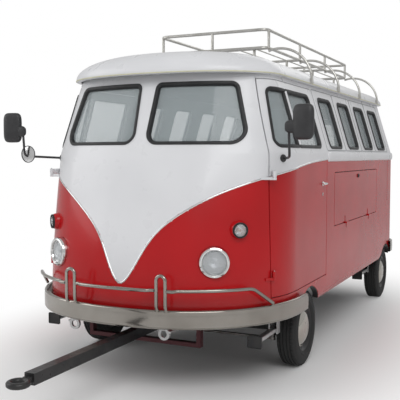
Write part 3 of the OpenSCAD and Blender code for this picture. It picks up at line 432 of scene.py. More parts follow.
def sweep(path: Array, out: Array | Sequence[float], profile: Array, closed: bool = False,
          scale: Array | float = 1.0) -> Shell:
    """Carries a closed profile along a path.

    A point is path + k (a * across + b * out), where (a, b) is the profile's point,
    k is the scale there, out is made square to the path and across = along x out.

    Args:
        path: the path's points (n, 3).
        out: the profile's up direction at each point, or one for all.
        profile: the profile's (m, 2) points, anticlockwise seen against the path.
        closed: whether the path meets its start.
        scale: the profile's size at each point.

    Returns:
        The shell, with its ends closed if the path is open.
    """
    path = np.asarray(path, float)
    if closed:
        along = unit(np.roll(path, -1, axis=0) - np.roll(path, 1, axis=0))
    else:
        along = unit(np.gradient(path, axis=0))
    out = np.broadcast_to(np.asarray(out, float), path.shape)
    out = unit(out - along * np.sum(out * along, axis=1, keepdims=True))
    across = np.cross(along, out)
    size = np.broadcast_to(scale, len(path))[:, None, None]
    a, b = profile[None, :, :1], profile[None, :, 1:]
    points = path[:, None] + size * (a * across[:, None] + b * out[:, None])
    body = grid(points, wrap_u=closed, wrap_v=True)
    return body if closed else weld(Shell.join([body, cap(points[0]), cap(points[-1][::-1])]))


def circle(r: float, n: int = 12) -> Array:
    """Returns a round profile of radius r with n points."""
    t = 2.0 * np.pi * np.arange(n) / n
    return r * np.stack([np.cos(t), np.sin(t)], axis=1)


def ribbon(half_w: float, low: float, high: float) -> Array:
    """Returns a flat bar's profile: half_w to each side, from low to high over the path."""
    return np.array([[-half_w, low], [half_w, low], [half_w, high], [-half_w, high]])


def bead(width: float, height: float, base: float, n: int) -> Array:
    """A half-round profile: a half ellipse over a flat base.

    Args:
        width: its width.
        height: its height over the skin.
        base: how deep its base lies under the skin.
        n: points over its crown.

    Returns:
        The (m, 2) profile.
    """
    t = np.linspace(0.0, math.pi, n)
    crown = np.stack([width / 2 * np.cos(t), height * np.sin(t)], axis=1)
    return np.vstack([[-width / 2, -base], [width / 2, -base], crown])


def eased(a: Array, corner: Array, b: Array, t: Array) -> Array:
    """Returns the curve (1 - t)^2 a + 2 t (1 - t) corner + t^2 b."""
    return (1 - t) ** 2 * a + 2 * t * (1 - t) * corner + t ** 2 * b


def rounded_path(corners: Array, bend: float, closed: bool = False) -> Array:
    """Replaces each corner of a path by an eased curve that leaves the runs at bend from it.

    Args:
        corners: the path's corners.
        bend: how far from a corner its curve starts, or 0 for none.
        closed: whether the path meets its start.

    Returns:
        The finer path.
    """
    if bend <= 0.0:
        return corners
    a, b = (corners + unit(np.roll(corners, k, axis=0) - corners) * bend for k in (1, -1))
    arcs = eased(a[:, None], corners[:, None], b[:, None], np.linspace(0.0, 1.0, 7)[None, :, None])
    if closed:
        return arcs.reshape(-1, 3)
    return np.vstack([corners[:1], arcs[1:-1].reshape(-1, 3), corners[-1:]])


def tube(path: Rows, r: float, bend: float = 0.0, closed: bool = False, sides: int = 14) -> Shell:
    """Carries a circle along straight runs joined by bends.

    Args:
        path: the corners.
        r: the tube's radius.
        bend: how far from a corner its bend starts.
        closed: whether the last corner meets the first.
        sides: the number of sides.

    Returns:
        The tube.
    """
    line = rounded_path(np.asarray(path, float), bend, closed)
    along = unit(np.gradient(line, axis=0))
    up = UP if np.abs(along[:, 2]).max() < 0.9 else np.array([0.31, 0.91, 0.27])
    return sweep(line, up, circle(r, sides), closed)


def lathe(profile: Rows, turns: int = 48, close: bool = True) -> Shell:
    """Turns a profile of (radius, height) about +Z.

    The surface faces right of the profile's direction of travel, as seen with
    the axis on the left. A profile clear of the axis at both ends is closed
    on itself, and a profile clear of it at one end gets a disc there.

    Args:
        profile: the profile's points.
        turns: steps round the axis.
        close: whether open ends are closed.

    Returns:
        The shell.
    """
    p = np.asarray(profile, float)
    first, last = p[0, 0] > 0.0 and close, p[-1, 0] > 0.0 and close
    if first and not last:
        p = np.vstack([p[:1] * (0.0, 1.0), p])
    if last and not first:
        p = np.vstack([p, p[-1:] * (0.0, 1.0)])
    return weld(grid(turned(np.broadcast_to(p[:, 0], (turns, len(p))), p[:, 1]), True, first and last))


def turned(radius: Array, height: Array) -> Array:
    """Returns points about +Z: one row of radii for each step of the turn, and one height for each column."""
    t = 2.0 * np.pi * np.arange(len(radius))[:, None] / len(radius)
    return np.stack([radius * np.cos(t), radius * np.sin(t), np.broadcast_to(height, radius.shape)], axis=-1)


def bowl(rows: Rows, turns: int = 72, wall: float = 0.003) -> Shell:
    """A thin bowl that opens along +Z: its inside's rows, and the same rows moved out and down by a wall.

    Args:
        rows: the inside's (radius, height) points, from the axis to the rim.
        turns: steps round the axis.
        wall: the wall's thickness.

    Returns:
        The bowl.
    """
    inner = np.asarray(rows, float)
    outer = inner + np.where(inner[:, :1] > 0.0, (wall, -wall), (0.0, -wall))
    return lathe(np.vstack([outer, inner[::-1]]), turns)


def box_shell(low: Sequence[float], high: Sequence[float]) -> Shell:
    """A closed block.

    Args:
        low: its low corner.
        high: its high corner.

    Returns:
        The block.
    """
    a, b = np.asarray(low, float), np.asarray(high, float)
    t = np.array([[x, y, z] for x in (0, 1) for y in (0, 1) for z in (0, 1)], float)
    faces = np.array([[0, 1, 3, 2], [4, 6, 7, 5], [0, 4, 5, 1], [2, 3, 7, 6], [0, 2, 6, 4], [1, 5, 7, 3]])
    return Shell(a + t * (b - a), faces, np.zeros(6, int))


def foot_plate(w: float, h: float, t: float, r: float = 0.010) -> Shell:
    """A plate with rounded corners and a turned rim, its face towards +Z.

    Args:
        w: its width.
        h: its height.
        t: its depth over the rim.
        r: its corners' radius.

    Returns:
        The plate.
    """
    q = np.linspace(0.0, 2 * math.pi, 40, endpoint=False)
    core = np.stack([np.sign(np.cos(q)) * (w / 2 - r) + r * np.cos(q),
                     np.sign(np.sin(q)) * (h / 2 - r) + r * np.sin(q)], axis=1)
    rows = [(0.86, 0.002), (0.94, 0.0025), (0.975, t - 0.001), (1.0, t), (1.0, 0.0)]
    stack = np.stack([np.column_stack([core * k, np.full(len(core), z)]) for k, z in rows], axis=1)
    return weld(Shell.join([grid(stack[:, ::-1], wrap_u=True), cap(stack[:, 0]), cap(stack[::-1, -1])]))


def lines(*stops: float, step: float) -> Array:
    """Returns grid lines through every stop, in order, at most step apart."""
    runs = [np.linspace(a, b, max(2, int(math.ceil((b - a) / step)) + 1))[:-1]
            for a, b in zip(stops, stops[1:])]
    return np.concatenate(runs + [np.array(stops[-1:])])


# ---------------------------------------------------------------- body shape

@dataclass(frozen=True)
class BodyShape:
    """The outer skin of the bus, and the heights and places that divide it."""

    half_w: float = 1.0
    sill: float = 0.485
    tuck: float = 0.56
    rake_from: float = 0.6
    belt: float = 1.667
    top: float = 2.245
    nose_len: float = 0.85
    rake: float = 0.262
    screen_rake: float = 0.365
    lean_rate: float = 0.3
    soften: float = 5e-3
    tail_r: float = 0.35
    power: float = 2.3
    girth: float = 1.36
    tip: float = TIP
    nose_end: float = TIP + 0.85
    tail: float = TIP + 4.78
    axle_front: float = TIP + 1.21
    axle_rear: float = TIP + 4.21
    door_rear: float = TIP + 1.66
    hub_z: float = 0.295
    arch_r: float = 0.33
    gap: float = 0.005

    @property
    def tail_start(self) -> float:
        """Returns where the straight sides end."""
        return self.tail - self.tail_r

    @property
    def straight(self) -> float:
        """Returns the length of the straight sides."""
        return self.tail_start - self.nose_end

    @property
    def tail_arc(self) -> float:
        """Returns the girth of a tail corner."""
        return self.tail_r * math.pi / 2

    def lean(self, z: Array) -> Array:
        """Returns how far the walls lean in at height z: the rate times a soft step of z - belt."""
        up = z - self.belt
        return self.lean_rate * 0.5 * (up + np.sqrt(up * up + self.soften ** 2))

    def half(self, z: Array) -> Array:
        """Returns the half width at height z: full, tucked in low down, and leaning in above the belt."""
        low = np.clip((self.tuck - z) / (self.tuck - self.sill), 0.0, 1.5)
        return self.half_w - self.lean(z) - 0.018 * low ** 2

    def back(self, z: Array) -> Array:
        """Returns how far the nose lies behind its tip: a power curve to the belt, then straight."""
        t = np.clip((z - self.rake_from) / (self.belt - self.rake_from), 0.0, 1.0)
        return self.rake * t ** 1.6 + self.screen_rake * np.maximum(z - self.belt, 0.0)

    def depth(self, z: Array) -> Array:
        """Returns the length of the nose at height z."""
        return self.nose_len - self.back(z)

    def tail_depth(self, z: Array) -> Array:
        """Returns the depth of the tail's corners at height z."""
        return self.tail_r - self.lean(z)

    def outline(self, t: Array, w: Array | float, b: Array | float) -> tuple[Array, Array]:
        """Returns x = w sin(t)^(2/power) and y = nose end - b cos(t) of a nose outline at angle t."""
        return w * np.sin(t) ** (2 / self.power), self.nose_end - b * np.cos(t)

    def turn(self, share: Array) -> Array:
        """Angle of the nose outline, spaced by the belt outline's arc length.

        Args:
            share: shares of the outline's girth.

        Returns:
            The angles there.
        """
        t = np.linspace(0.0, math.pi / 2, 4000)
        run = np.cumsum(np.hypot(np.diff(np.sin(t) ** (2 / self.power)), np.diff(0.62 * np.cos(t))))
        run = np.concatenate([[0.0], run])
        return np.interp(share, run / run[-1], t)

    def skin(self, s: Array, z: Array) -> Array:
        """Point of the outer skin.

        The nose is outline(t), the sides are straight, each tail corner is a
        quarter turn of radius tail_r and the tail is straight to the middle.

        Args:
            s: girth from the nose's middle, to the left if positive.
            z: height.

        Returns:
            The points.
        """
        s, z = np.broadcast_arrays(np.asarray(s, float), np.asarray(z, float))
        side, a = np.sign(s) + (s == 0), np.abs(s)
        w = self.half(z)
        x, y = self.outline(self.turn(np.clip(a / self.girth, 0.0, 1.0)), w, self.depth(z))
        run = a - self.girth
        y = np.where(run > 0, self.nose_end + np.clip(run, 0.0, self.straight), y)
        q = np.clip((run - self.straight) / self.tail_arc, 0.0, 1.0) * math.pi / 2
        x = np.where(run > 0, w - self.tail_r + self.tail_r * np.cos(q), x)
        y = y + np.where(run > self.straight, self.tail_depth(z) * np.sin(q), 0.0)
        x = x - np.clip(run - self.straight - self.tail_arc, 0.0, None)
        return np.stack([side * x, y, z], axis=-1)

    def outward(self, s: Array, z: Array) -> Array:
        """Returns the skin's outward normal there: the cross product of its two slopes."""
        e = 5e-4
        along, up = self.skin(s + e, z) - self.skin(s - e, z), self.skin(s, z + e) - self.skin(s, z - e)
        return unit(np.cross(along, up))

    def seam(self, z: Array) -> Array:
        """Returns the place along Y where the nose meets the cab door at height z."""
        top = self.rake + self.screen_rake * (2.2 - self.belt)
        return self.tip + 0.51 + 0.145 * (self.back(z) / top) ** 1.9

    def girth_of(self, t: Array) -> Array:
        """Returns the girth at an outline angle: the inverse of turn()."""
        shares = np.linspace(0.0, 1.0, 2000)
        return np.interp(t, self.turn(shares), shares) * self.girth

    def run_to(self, y: float) -> float:
        """Returns the girth at which the straight side lies at y."""
        return self.girth + y - self.nose_end

    def side_at(self, y: Array, z: Array) -> Array:
        """Girth at which the left skin lies at y, for nose and straight side: the inverse of skin().

        Args:
            y: places along Y.
            z: heights.

        Returns:
            The girths.
        """
        y, z = np.broadcast_arrays(np.asarray(y, float), np.asarray(z, float))
        t = np.arccos(np.clip((self.nose_end - y) / self.depth(z), 0.0, 1.0))
        return np.where(y > self.nose_end, self.run_to(y), self.girth_of(t))

    def front_at(self, x: Array, z: Array) -> Array:
        """Girth at which the nose lies at x, for either side: the inverse of skin().

        Args:
            x: places across.
            z: heights.

        Returns:
            The girths.
        """
        x, z = np.broadcast_arrays(np.asarray(x, float), np.asarray(z, float))
        t = np.arcsin(np.clip(np.abs(x) / self.half(z), 0.0, 1.0) ** (self.power / 2))
        return np.sign(x) * self.girth_of(t)

    def paint_line(self, s: Array) -> Array:
        """Height of the line between the two paints: a V that rises and levels out.

        z = 0.771 + 0.728 (1 - exp(-r / 0.594)) + 0.139 (1 - exp(-(r / 0.137)^2)),
        with r = hypot(s, 0.04) - 0.04.

        Args:
            s: the girth.

        Returns:
            The heights.
        """
        r = np.hypot(s, 0.04) - 0.04
        return 0.771 + 0.728 * (1.0 - np.exp(-r / 0.594)) + 0.139 * (1.0 - np.exp(-(r / 0.137) ** 2))


SHAPE = BodyShape()


def rounded_box(p: Array, q: Array, low: Sequence[float], high: Sequence[float], r: float) -> Array:
    """Signed distance to a rectangle with round corners, negative inside.

    Args:
        p: first coordinates.
        q: second coordinates.
        low: its low corner.
        high: its high corner.
        r: the corners' radius.

    Returns:
        The distances.
    """
    a = np.abs(p - (low[0] + high[0]) / 2) - (high[0] - low[0]) / 2 + r
    b = np.abs(q - (low[1] + high[1]) / 2) - (high[1] - low[1]) / 2 + r
    return np.hypot(np.maximum(a, 0), np.maximum(b, 0)) + np.minimum(np.maximum(a, b), 0) - r


@dataclass(frozen=True)
class Opening:
    """A window opening: a rounded polygon of (across, height) corners with one radius each."""

    corners: tuple[tuple[float, float], ...]
    radii: tuple[float, ...]
    front: bool = False

    @staticmethod
    def box(low: tuple[float, float], high: tuple[float, float], r: float) -> "Opening":
        """Returns a rectangular opening with corners of radius r."""
        return Opening((low, (high[0], low[1]), high, (low[0], high[1])), (r,) * 4)

    def outline(self, count: int = 12) -> Array:
        """Points round the opening, anticlockwise, with arcs at its corners.

        Args:
            count: points on each arc.

        Returns:
            The (n, 2) points.
        """
        c = np.asarray(self.corners, float)
        before, after = unit(np.roll(c, 1, axis=0) - c), unit(np.roll(c, -1, axis=0) - c)
        r = np.asarray(self.radii)
        half = 0.5 * np.arccos(np.clip(np.sum(before * after, axis=1), -1, 1))
        centre = c + unit(before + after) * (r / np.sin(half))[:, None]
        start = np.arctan2(before[:, 0], -before[:, 1])
        t = start[:, None] + np.linspace(0, 1, count)[None] * (math.pi - 2 * half)[:, None]
        ring = np.stack([np.cos(t), np.sin(t)], axis=-1) * r[:, None, None] + centre[:, None]
        return ring.reshape(-1, 2)

    def distance(self, p: Array, q: Array) -> Array:
        """Signed distance to the outline, negative inside: the nearest edge of a fine polygon.

        Args:
            p: places across.
            q: heights.

        Returns:
            The distances.
        """
        ring = self.outline(10)
        out = np.full(p.shape, np.inf)
        inside = np.zeros(p.shape, bool)
        for (ax, ay), (bx, by) in zip(ring, np.roll(ring, -1, axis=0)):
            ex, ey = bx - ax, by - ay
            t = np.clip(((p - ax) * ex + (q - ay) * ey) / max(ex * ex + ey * ey, 1e-12), 0, 1)
            out = np.minimum(out, np.hypot(p - ax - t * ex, q - ay - t * ey))
            inside ^= ((ay > q) != (by > q)) & (p < ax + (q - ay) * ex / (ey if abs(ey) > 1e-12 else 1e-12))
        return np.where(inside, -out, out)

    def girths(self, ring: Array) -> tuple[Array, Array]:
        """Returns the skin parameters of ring points."""
        find = SHAPE.front_at if self.front else SHAPE.side_at
        return find(ring[:, 0], ring[:, 1]), ring[:, 1]

    def path(self, count: int = 12, long_run: float = 0.06) -> tuple[Array, Array]:
        """The outline carried onto the skin, with its long runs split in five.

        Args:
            count: points on each arc.
            long_run: the length over which a run is split.

        Returns:
            The points and the outward normals there.
        """
        ring = self.outline(count)
        after = np.roll(ring, -1, axis=0)
        fine = np.linspace(0, 1, 5, endpoint=False)[:, None]
        is_long = np.linalg.norm(after - ring, axis=1) > long_run
        s, z = self.girths(np.vstack([a + (b - a) * fine if go else a[None]
                                      for a, b, go in zip(ring, after, is_long)]))
        return SHAPE.skin(s, z), SHAPE.outward(s, z)


@dataclass
class Panel:
    """A curved plate cut to a region: outer skin, bevelled edge and inner skin.

    Grid points near the region's edge move onto it along the slope of its
    signed distance, faces outside are dropped, and the two skins are joined
    by a rim whose first row is a bevel. Outer faces are 0, or 1 where split is
    positive; the rim takes its neighbour's number and the inner skin is 2.
    """

    us: Array
    vs: Array
    region: Surface
    thick: float = 0.04
    edge: float = 0.003
    sink: float = 0.0
    split: Surface | None = None
    half: bool = False
    skin: Surface = SHAPE.skin
    outward: Surface = SHAPE.outward

    def snapped(self, u: Array, v: Array, level_of: Surface, mask: Array,
                level: float = 0.0) -> tuple[Array, Array]:
        """Moves masked points to where a field is level, by Newton steps of at most 0.8 of a cell.

        Args:
            u: first parameters.
            v: second parameters.
            level_of: the field.
            mask: the points that move.
            level: its value there.

        Returns:
            The moved parameters.
        """
        du, dv = 0.8 * np.gradient(self.us)[:, None], 0.8 * np.gradient(self.vs)[None, :]
        e = 2e-4
        for _ in range(5):
            f = level_of(u, v) - level
            fu = (level_of(u + e, v) - f - level) / e
            fv = (level_of(u, v + e) - f - level) / e
            size = np.maximum(fu * fu + fv * fv, 1e-6)
            u = u - np.where(mask, np.clip(f * fu / size, -du, du), 0.0)
            v = v - np.where(mask, np.clip(f * fv / size, -dv, dv), 0.0)
        return u, v

    @staticmethod
    def faces_mean(values: Array) -> Array:
        """Returns the mean of a grid over each of its faces."""
        return 0.25 * (values[:-1, :-1] + values[1:, :-1] + values[1:, 1:] + values[:-1, 1:])

    def shell(self) -> Shell:
        """Builds the plate.

        Returns:
            The plate, open at x = 0 if it is a half.
        """
        u, v = np.meshgrid(self.us, self.vs, indexing="ij")
        cell = 0.5 * np.minimum(np.gradient(self.us)[:, None], np.gradient(self.vs)[None, :])
        region = self.region
        if self.split is not None:
            near = (np.abs(self.split(u, v)) < 1.05 * cell) & (region(u, v) < -1.2 * cell)
            u, v = self.snapped(u, v, self.split, near)
        u, v = self.snapped(u, v, region, np.abs(region(u, v)) < 1.05 * cell)
        keep = region(self.faces_mean(u), self.faces_mean(v)) < 0.0
        used = np.zeros(u.shape, int)
        for a, b in ((0, 0), (1, 0), (1, 1), (0, 1)):
            used[a:a + keep.shape[0], b:b + keep.shape[1]] += keep
        rim = (used > 0) & (used < 4)
        inner = np.zeros_like(rim)
        inner[1:-1, 1:-1] = True
        value = region(u, v)
        u, v = self.snapped(u, v, region, rim & (np.abs(value) > 1e-5) & (inner | (value > 0.0)))
        iu, iv = self.snapped(u, v, region, rim & (region(u, v) > -self.edge), -self.edge)
        out = self.outward(u, v)
        base = self.skin(u, v) - out * self.sink
        top = self.skin(iu, iv) - self.outward(iu, iv) * self.sink
        n = u.size
        index = np.arange(n).reshape(u.shape)
        faces = np.stack([index[:-1, :-1], index[1:, :-1], index[1:, 1:], index[:-1, 1:]], axis=-1)[keep]
        marks = np.zeros(len(faces), int)
        if self.split is not None:
            marks = (self.split(self.faces_mean(u), self.faces_mean(v))[keep] > 0).astype(int)
        ends = np.stack([faces, np.roll(faces, -1, axis=1)], axis=-1).reshape(-1, 2)
        lone = ~np.isin(ends[:, 0] * n + ends[:, 1], ends[:, 1] * n + ends[:, 0])
        if self.half:
            middle = np.abs(base[..., 0].ravel()) < 1e-6
            lone &= ~(middle[ends[:, 0]] & middle[ends[:, 1]])
        a, b, owner = ends[lone, 0], ends[lone, 1], np.repeat(marks, 4)[lone]
        rims = [np.stack([b + k, a + k, a + n + k, b + n + k], axis=1) for k in (0, n)]
        under = faces[:, ::-1] + 2 * n
        points = np.vstack([p.reshape(-1, 3) for p in (top, base - out * self.edge, base - out * self.thick)])
        all_faces = np.vstack([faces, *rims, under])
        live, fresh = np.unique(all_faces, return_inverse=True)
        return Shell(points[live], fresh.reshape(all_faces.shape),
                     np.concatenate([marks, owner, owner, np.full(len(under), 2)]))


# ---------------------------------------------------------------- openings

PITCH = (SHAPE.tail_start - SHAPE.door_rear - 0.195) / 4
PANE_Y = [SHAPE.door_rear + 0.033 + PITCH * (i + 0.5) for i in range(4)]
PANE_Z = (1.722, 2.130)
PANE_HALF, PANE_R = 0.195, 0.048
CAB_FRONT, CAB_REAR = SHAPE.tip + 0.623, SHAPE.door_rear - 0.13
BAR_Y, BAR_HALF = CAB_FRONT + 0.33, 0.012
FLAP_Y = (SHAPE.door_rear + 0.25, SHAPE.door_rear + 1.99)
FLAP_Z = (1.04, 1.50)
FLAP_HINGES = (FLAP_Y[0] + 0.4, FLAP_Y[0] + 1.34)
DOOR_LOW, DOOR_TOP = 0.655, 2.2
REAR_DOOR, REAR_DOOR_Z = 0.35, (0.69, 2.11)
REAR_PANE, REAR_Z = 0.26, (1.74, 2.05)
REAR_PAINT_Z = 1.615

SCREEN = Opening(((0.058, 1.742), (0.762, 1.742), (0.640, 2.163), (0.076, 2.163)), (0.075, 0.085, 0.05, 0.03),
                 True)
CAB_FORE = Opening(((CAB_FRONT, PANE_Z[0]), (BAR_Y - BAR_HALF, PANE_Z[0]), (BAR_Y - BAR_HALF, PANE_Z[1]),
                    (CAB_FRONT + 0.078, PANE_Z[1])), (0.045, 0.012, 0.012, 0.045))
CAB_AFT = Opening(((BAR_Y + BAR_HALF, PANE_Z[0]), (CAB_REAR, PANE_Z[0]), (CAB_REAR, PANE_Z[1]),
                   (BAR_Y + BAR_HALF, PANE_Z[1])), (0.012, 0.045, 0.045, 0.012))
SIDE_PANES = [Opening.box((y - PANE_HALF, PANE_Z[0]), (y + PANE_HALF, PANE_Z[1]), PANE_R) for y in PANE_Y]


def facing(yaw: float, ahead: float) -> Array:
    """Returns axes across, up and out for a face turned yaw degrees to the left of ahead (-1) or back (1)."""
    a = math.radians(yaw)
    out = np.array([math.sin(a), ahead * math.cos(a), 0.0])
    return np.stack([np.cross(UP, out), UP, out], axis=1)


@dataclass(frozen=True)
class LampPlace:
    """Where a round lamp of the nose sits: its face's middle, its turn to the side and its radius."""

    x: float
    y: float
    z: float
    yaw: float
    r: float

    def axes(self) -> Array:
        """Returns columns across, up-the-face and outwards for the left lamp."""
        return facing(self.yaw, -1.0)

    def centre(self) -> Array:
        """Returns the middle of the lamp's face on the left."""
        return np.array([self.x, self.y, self.z])

    def distance(self, p: Array) -> Array:
        """Distance of points from the lamp's axis, on either side.

        Args:
            p: the points.

        Returns:
            The distances.
        """
        d = np.concatenate([np.abs(p[..., :1]), p[..., 1:]], axis=-1) - self.centre()
        out = self.axes()[:, 2]
        return np.linalg.norm(d - (d @ out)[..., None] * out, axis=-1)

    def set_back(self, by: float, turn: float) -> "LampPlace":
        """Returns the place moved in along its axis and turned further to the side by some degrees."""
        a = math.radians(self.yaw)
        return replace(self, x=self.x - by * math.sin(a), y=self.y + by * math.cos(a), yaw=self.yaw + turn)


HEADLAMP = LampPlace(0.640, SHAPE.tip + 0.182, 0.930, 26.0, 0.107)
TURN_LAMP = LampPlace(0.800, SHAPE.tip + 0.272, 1.143, 36.0, 0.055)


# ---------------------------------------------------------------- body

def common(*fields: Array) -> Array:
    """Returns the signed distance to what several regions share: the largest of theirs."""
    return fields[0] if len(fields) == 1 else np.maximum(fields[0], common(*fields[1:]))


def arch(y: Array, z: Array, axle: float) -> Array:
    """Returns the signed distance to what lies outside a wheel arch, negative outside it."""
    return SHAPE.arch_r - np.hypot(y - axle, z - SHAPE.hub_z)


def joined(*runs: Array) -> Array:
    """Returns grid lines of runs that meet end to end, each shared line once."""
    return np.concatenate([run[:-1] for run in runs[:-1]] + [runs[-1]])


@dataclass
class Bodywork:
    """The painted shell: nose, sides, doors, flaps, tail and rear door."""

    step: float = 0.03
    fine: float = 0.018
    crease: tuple[float, ...] = (SHAPE.belt - 0.008, SHAPE.belt, SHAPE.belt + 0.008)
    finishes: tuple[Finish, ...] = (RED, WHITE, LINING)

    def heights(self, low: float, high: float, *stops: float) -> Array:
        """Grid lines up the body between two heights, close together at the belt's crease.

        Args:
            low: the first line.
            high: the last line.
            stops: more heights that need a line.

        Returns:
            The lines.
        """
        wide = (SHAPE.belt - 0.02, *self.crease, SHAPE.belt + 0.02)
        marks = sorted(z for z in [*stops, *wide, SHAPE.tuck, low, high] if low <= z <= high)
        return lines(*marks, step=self.step)

    @staticmethod
    def split(s: Array, z: Array) -> Array:
        """Returns the height above the line between the paints."""
        return z - SHAPE.paint_line(s)

    @staticmethod
    def rear_split(_: Array, z: Array) -> Array:
        """Returns the height above the paints' level line at the tail."""
        return z - REAR_PAINT_Z

    def nose(self) -> Shell:
        """Builds the nose panel with two windscreens and four lamp holes.

        Returns:
            The panel.
        """
        def region(s: Array, z: Array) -> Array:
            """Returns the distance to the part ahead of the seam and outside the openings."""
            p = SHAPE.skin(s, z)
            return common(p[..., 1] - SHAPE.seam(z), -SCREEN.distance(np.abs(p[..., 0]), z),
                          *(lamp.r - lamp.distance(p) for lamp in (HEADLAMP, TURN_LAMP)))
        reach = float(SHAPE.side_at(SHAPE.seam(2.2), 0.5)) + 0.05
        us = lines(-reach, 0.0, reach, step=self.fine)
        vs = lines(SHAPE.sill, SHAPE.tuck, 0.8, 1.2, *self.crease, SHAPE.top, step=self.fine)
        return Panel(us, vs, region, split=self.split).shell()

    def side(self) -> Shell:
        """Builds the left wall from the seam to the tail, without door, flap, windows and arches.

        Returns:
            The wall.
        """
        gap = SHAPE.gap

        def region(s: Array, z: Array) -> Array:
            """Distance to the part behind the seam and outside every opening.

            Args:
                s: girths.
                z: heights.

            Returns:
                The distances, negative in that part.
            """
            y = SHAPE.skin(s, z)[..., 1]
            door = common(SHAPE.seam(z) - y, y - SHAPE.door_rear - gap, DOOR_LOW - gap - z,
                          z - DOOR_TOP - gap)
            flap = rounded_box(y, z, (FLAP_Y[0] - gap, FLAP_Z[0] - gap), (FLAP_Y[1] + gap, FLAP_Z[1] + gap),
                               0.014)
            panes = (-rounded_box(y, z, (at - PANE_HALF, PANE_Z[0]), (at + PANE_HALF, PANE_Z[1]), PANE_R)
                     for at in PANE_Y)
            return common(SHAPE.seam(z) - y, -door, -flap, *panes, arch(y, z, SHAPE.axle_front),
                          arch(y, z, SHAPE.axle_rear))
        at = [SHAPE.run_to(y) for y in (SHAPE.axle_front + 0.34, SHAPE.door_rear + gap, FLAP_Y[0] - gap,
                                        FLAP_Y[1] + gap, SHAPE.axle_rear - 0.34)]
        us = joined(lines(SHAPE.girth - 0.5, SHAPE.girth, at[0], step=self.fine), lines(*at, step=self.step),
                    lines(at[-1], SHAPE.girth + SHAPE.straight - 0.1, step=self.fine))
        vs = joined(lines(SHAPE.sill, SHAPE.tuck, DOOR_LOW - gap, step=self.fine),
                    self.heights(DOOR_LOW - gap, SHAPE.top, FLAP_Z[0] - gap, FLAP_Z[1] + gap, DOOR_TOP + gap,
                                 *PANE_Z))
        return Panel(us, vs, region, split=self.split).shell()

    def door(self) -> Shell:
        """Builds the left cab door with its window opening.

        Returns:
            The door.
        """
        def region(s: Array, z: Array) -> Array:
            """Returns the distance to the part between seam and rear edge, outside the windows."""
            y = SHAPE.skin(s, z)[..., 1]
            return common(SHAPE.seam(z) + SHAPE.gap - y, y - SHAPE.door_rear, DOOR_LOW - z, z - DOOR_TOP,
                          -CAB_FORE.distance(y, z), -CAB_AFT.distance(y, z), arch(y, z, SHAPE.axle_front))
        us = lines(SHAPE.girth - 0.5, SHAPE.girth, SHAPE.run_to(BAR_Y - BAR_HALF),
                   SHAPE.run_to(BAR_Y + BAR_HALF), SHAPE.run_to(SHAPE.door_rear), step=self.fine)
        vs = lines(DOOR_LOW, *self.crease, *PANE_Z, DOOR_TOP, step=self.fine)
        return Panel(us, vs, region, split=self.split).shell()

    @staticmethod
    def flap() -> Shell:
        """Builds the left serving flap.

        Returns:
            The flap.
        """
        def region(s: Array, z: Array) -> Array:
            """Returns the distance to the flap's rounded outline."""
            y = s - SHAPE.girth + SHAPE.nose_end
            return rounded_box(y, z, (FLAP_Y[0], FLAP_Z[0]), (FLAP_Y[1], FLAP_Z[1]), 0.012)
        us, vs = (lines(a, a + 0.015, b - 0.015, b, step=0.06)
                  for a, b in ([SHAPE.run_to(y) for y in FLAP_Y], FLAP_Z))
        return Panel(us, vs, region).shell()

    def rear_half(self, door: bool) -> Shell:
        """The left half of the tail, or of the rear door in it.

        The skin's girth over the flat part is measured back from the middle, so
        that the halves meet at x = 0 at every height.

        Args:
            door: whether it is the door.

        Returns:
            The half, open at x = 0.
        """
        start = SHAPE.girth + SHAPE.straight
        bent = start + SHAPE.tail_arc
        middle = bent + SHAPE.half_w - SHAPE.tail_r

        def skin(u: Array, z: Array) -> Array:
            """Returns the points of the tail's skin."""
            flat = np.maximum(u - bent, 0.0) / (middle - bent)
            return SHAPE.skin(np.minimum(u, bent) + flat * (SHAPE.half(z) - SHAPE.tail_r), z)

        def outward(u: Array, z: Array) -> Array:
            """Returns the normals of that surface."""
            e = 5e-4
            a = np.minimum(u, middle - e)
            return unit(np.cross(skin(a + e, z) - skin(a - e, z), skin(a, z + e) - skin(a, z - e)))

        def region(u: Array, z: Array) -> Array:
            """Distance to the part outside the door's opening, or inside it and outside its window.

            Args:
                u: girths, measured as skin() says.
                z: heights.

            Returns:
                The distances, negative in that part.
            """
            x, y, _ = np.moveaxis(skin(u, z), -1, 0)
            grow = 0.0 if door else SHAPE.gap
            hole = rounded_box(x, z, (-REAR_DOOR - grow, REAR_DOOR_Z[0] - grow),
                               (REAR_DOOR + grow, REAR_DOOR_Z[1] + grow), 0.02)
            if door:
                return common(hole, -rounded_box(x, z, (-REAR_PANE, REAR_Z[0]), (REAR_PANE, REAR_Z[1]), 0.06))
            return common(-hole, arch(y, z, SHAPE.axle_rear))
        edge = middle - REAR_DOOR * (middle - bent) / (SHAPE.half_w - SHAPE.tail_r)
        close, flat = lines(edge - 0.12, edge + 0.12, step=0.008), lines(edge + 0.12, middle, step=self.step)
        if door:
            us = joined(close, flat)
            vs = self.heights(*REAR_DOOR_Z, 0.698, 0.706, 2.094, 2.102, *REAR_Z)
        else:
            us = joined(lines(start - 0.1, start, bent, step=self.fine),
                        lines(bent, edge - 0.12, step=self.step), close, flat)
            vs = self.heights(SHAPE.sill, SHAPE.top, 0.669, 0.677, 0.685, 0.693, 2.099, 2.107, 2.115, 2.123)
        return Panel(us, vs, region, split=None if door else self.rear_split, half=True, skin=skin,
                     outward=outward).shell()

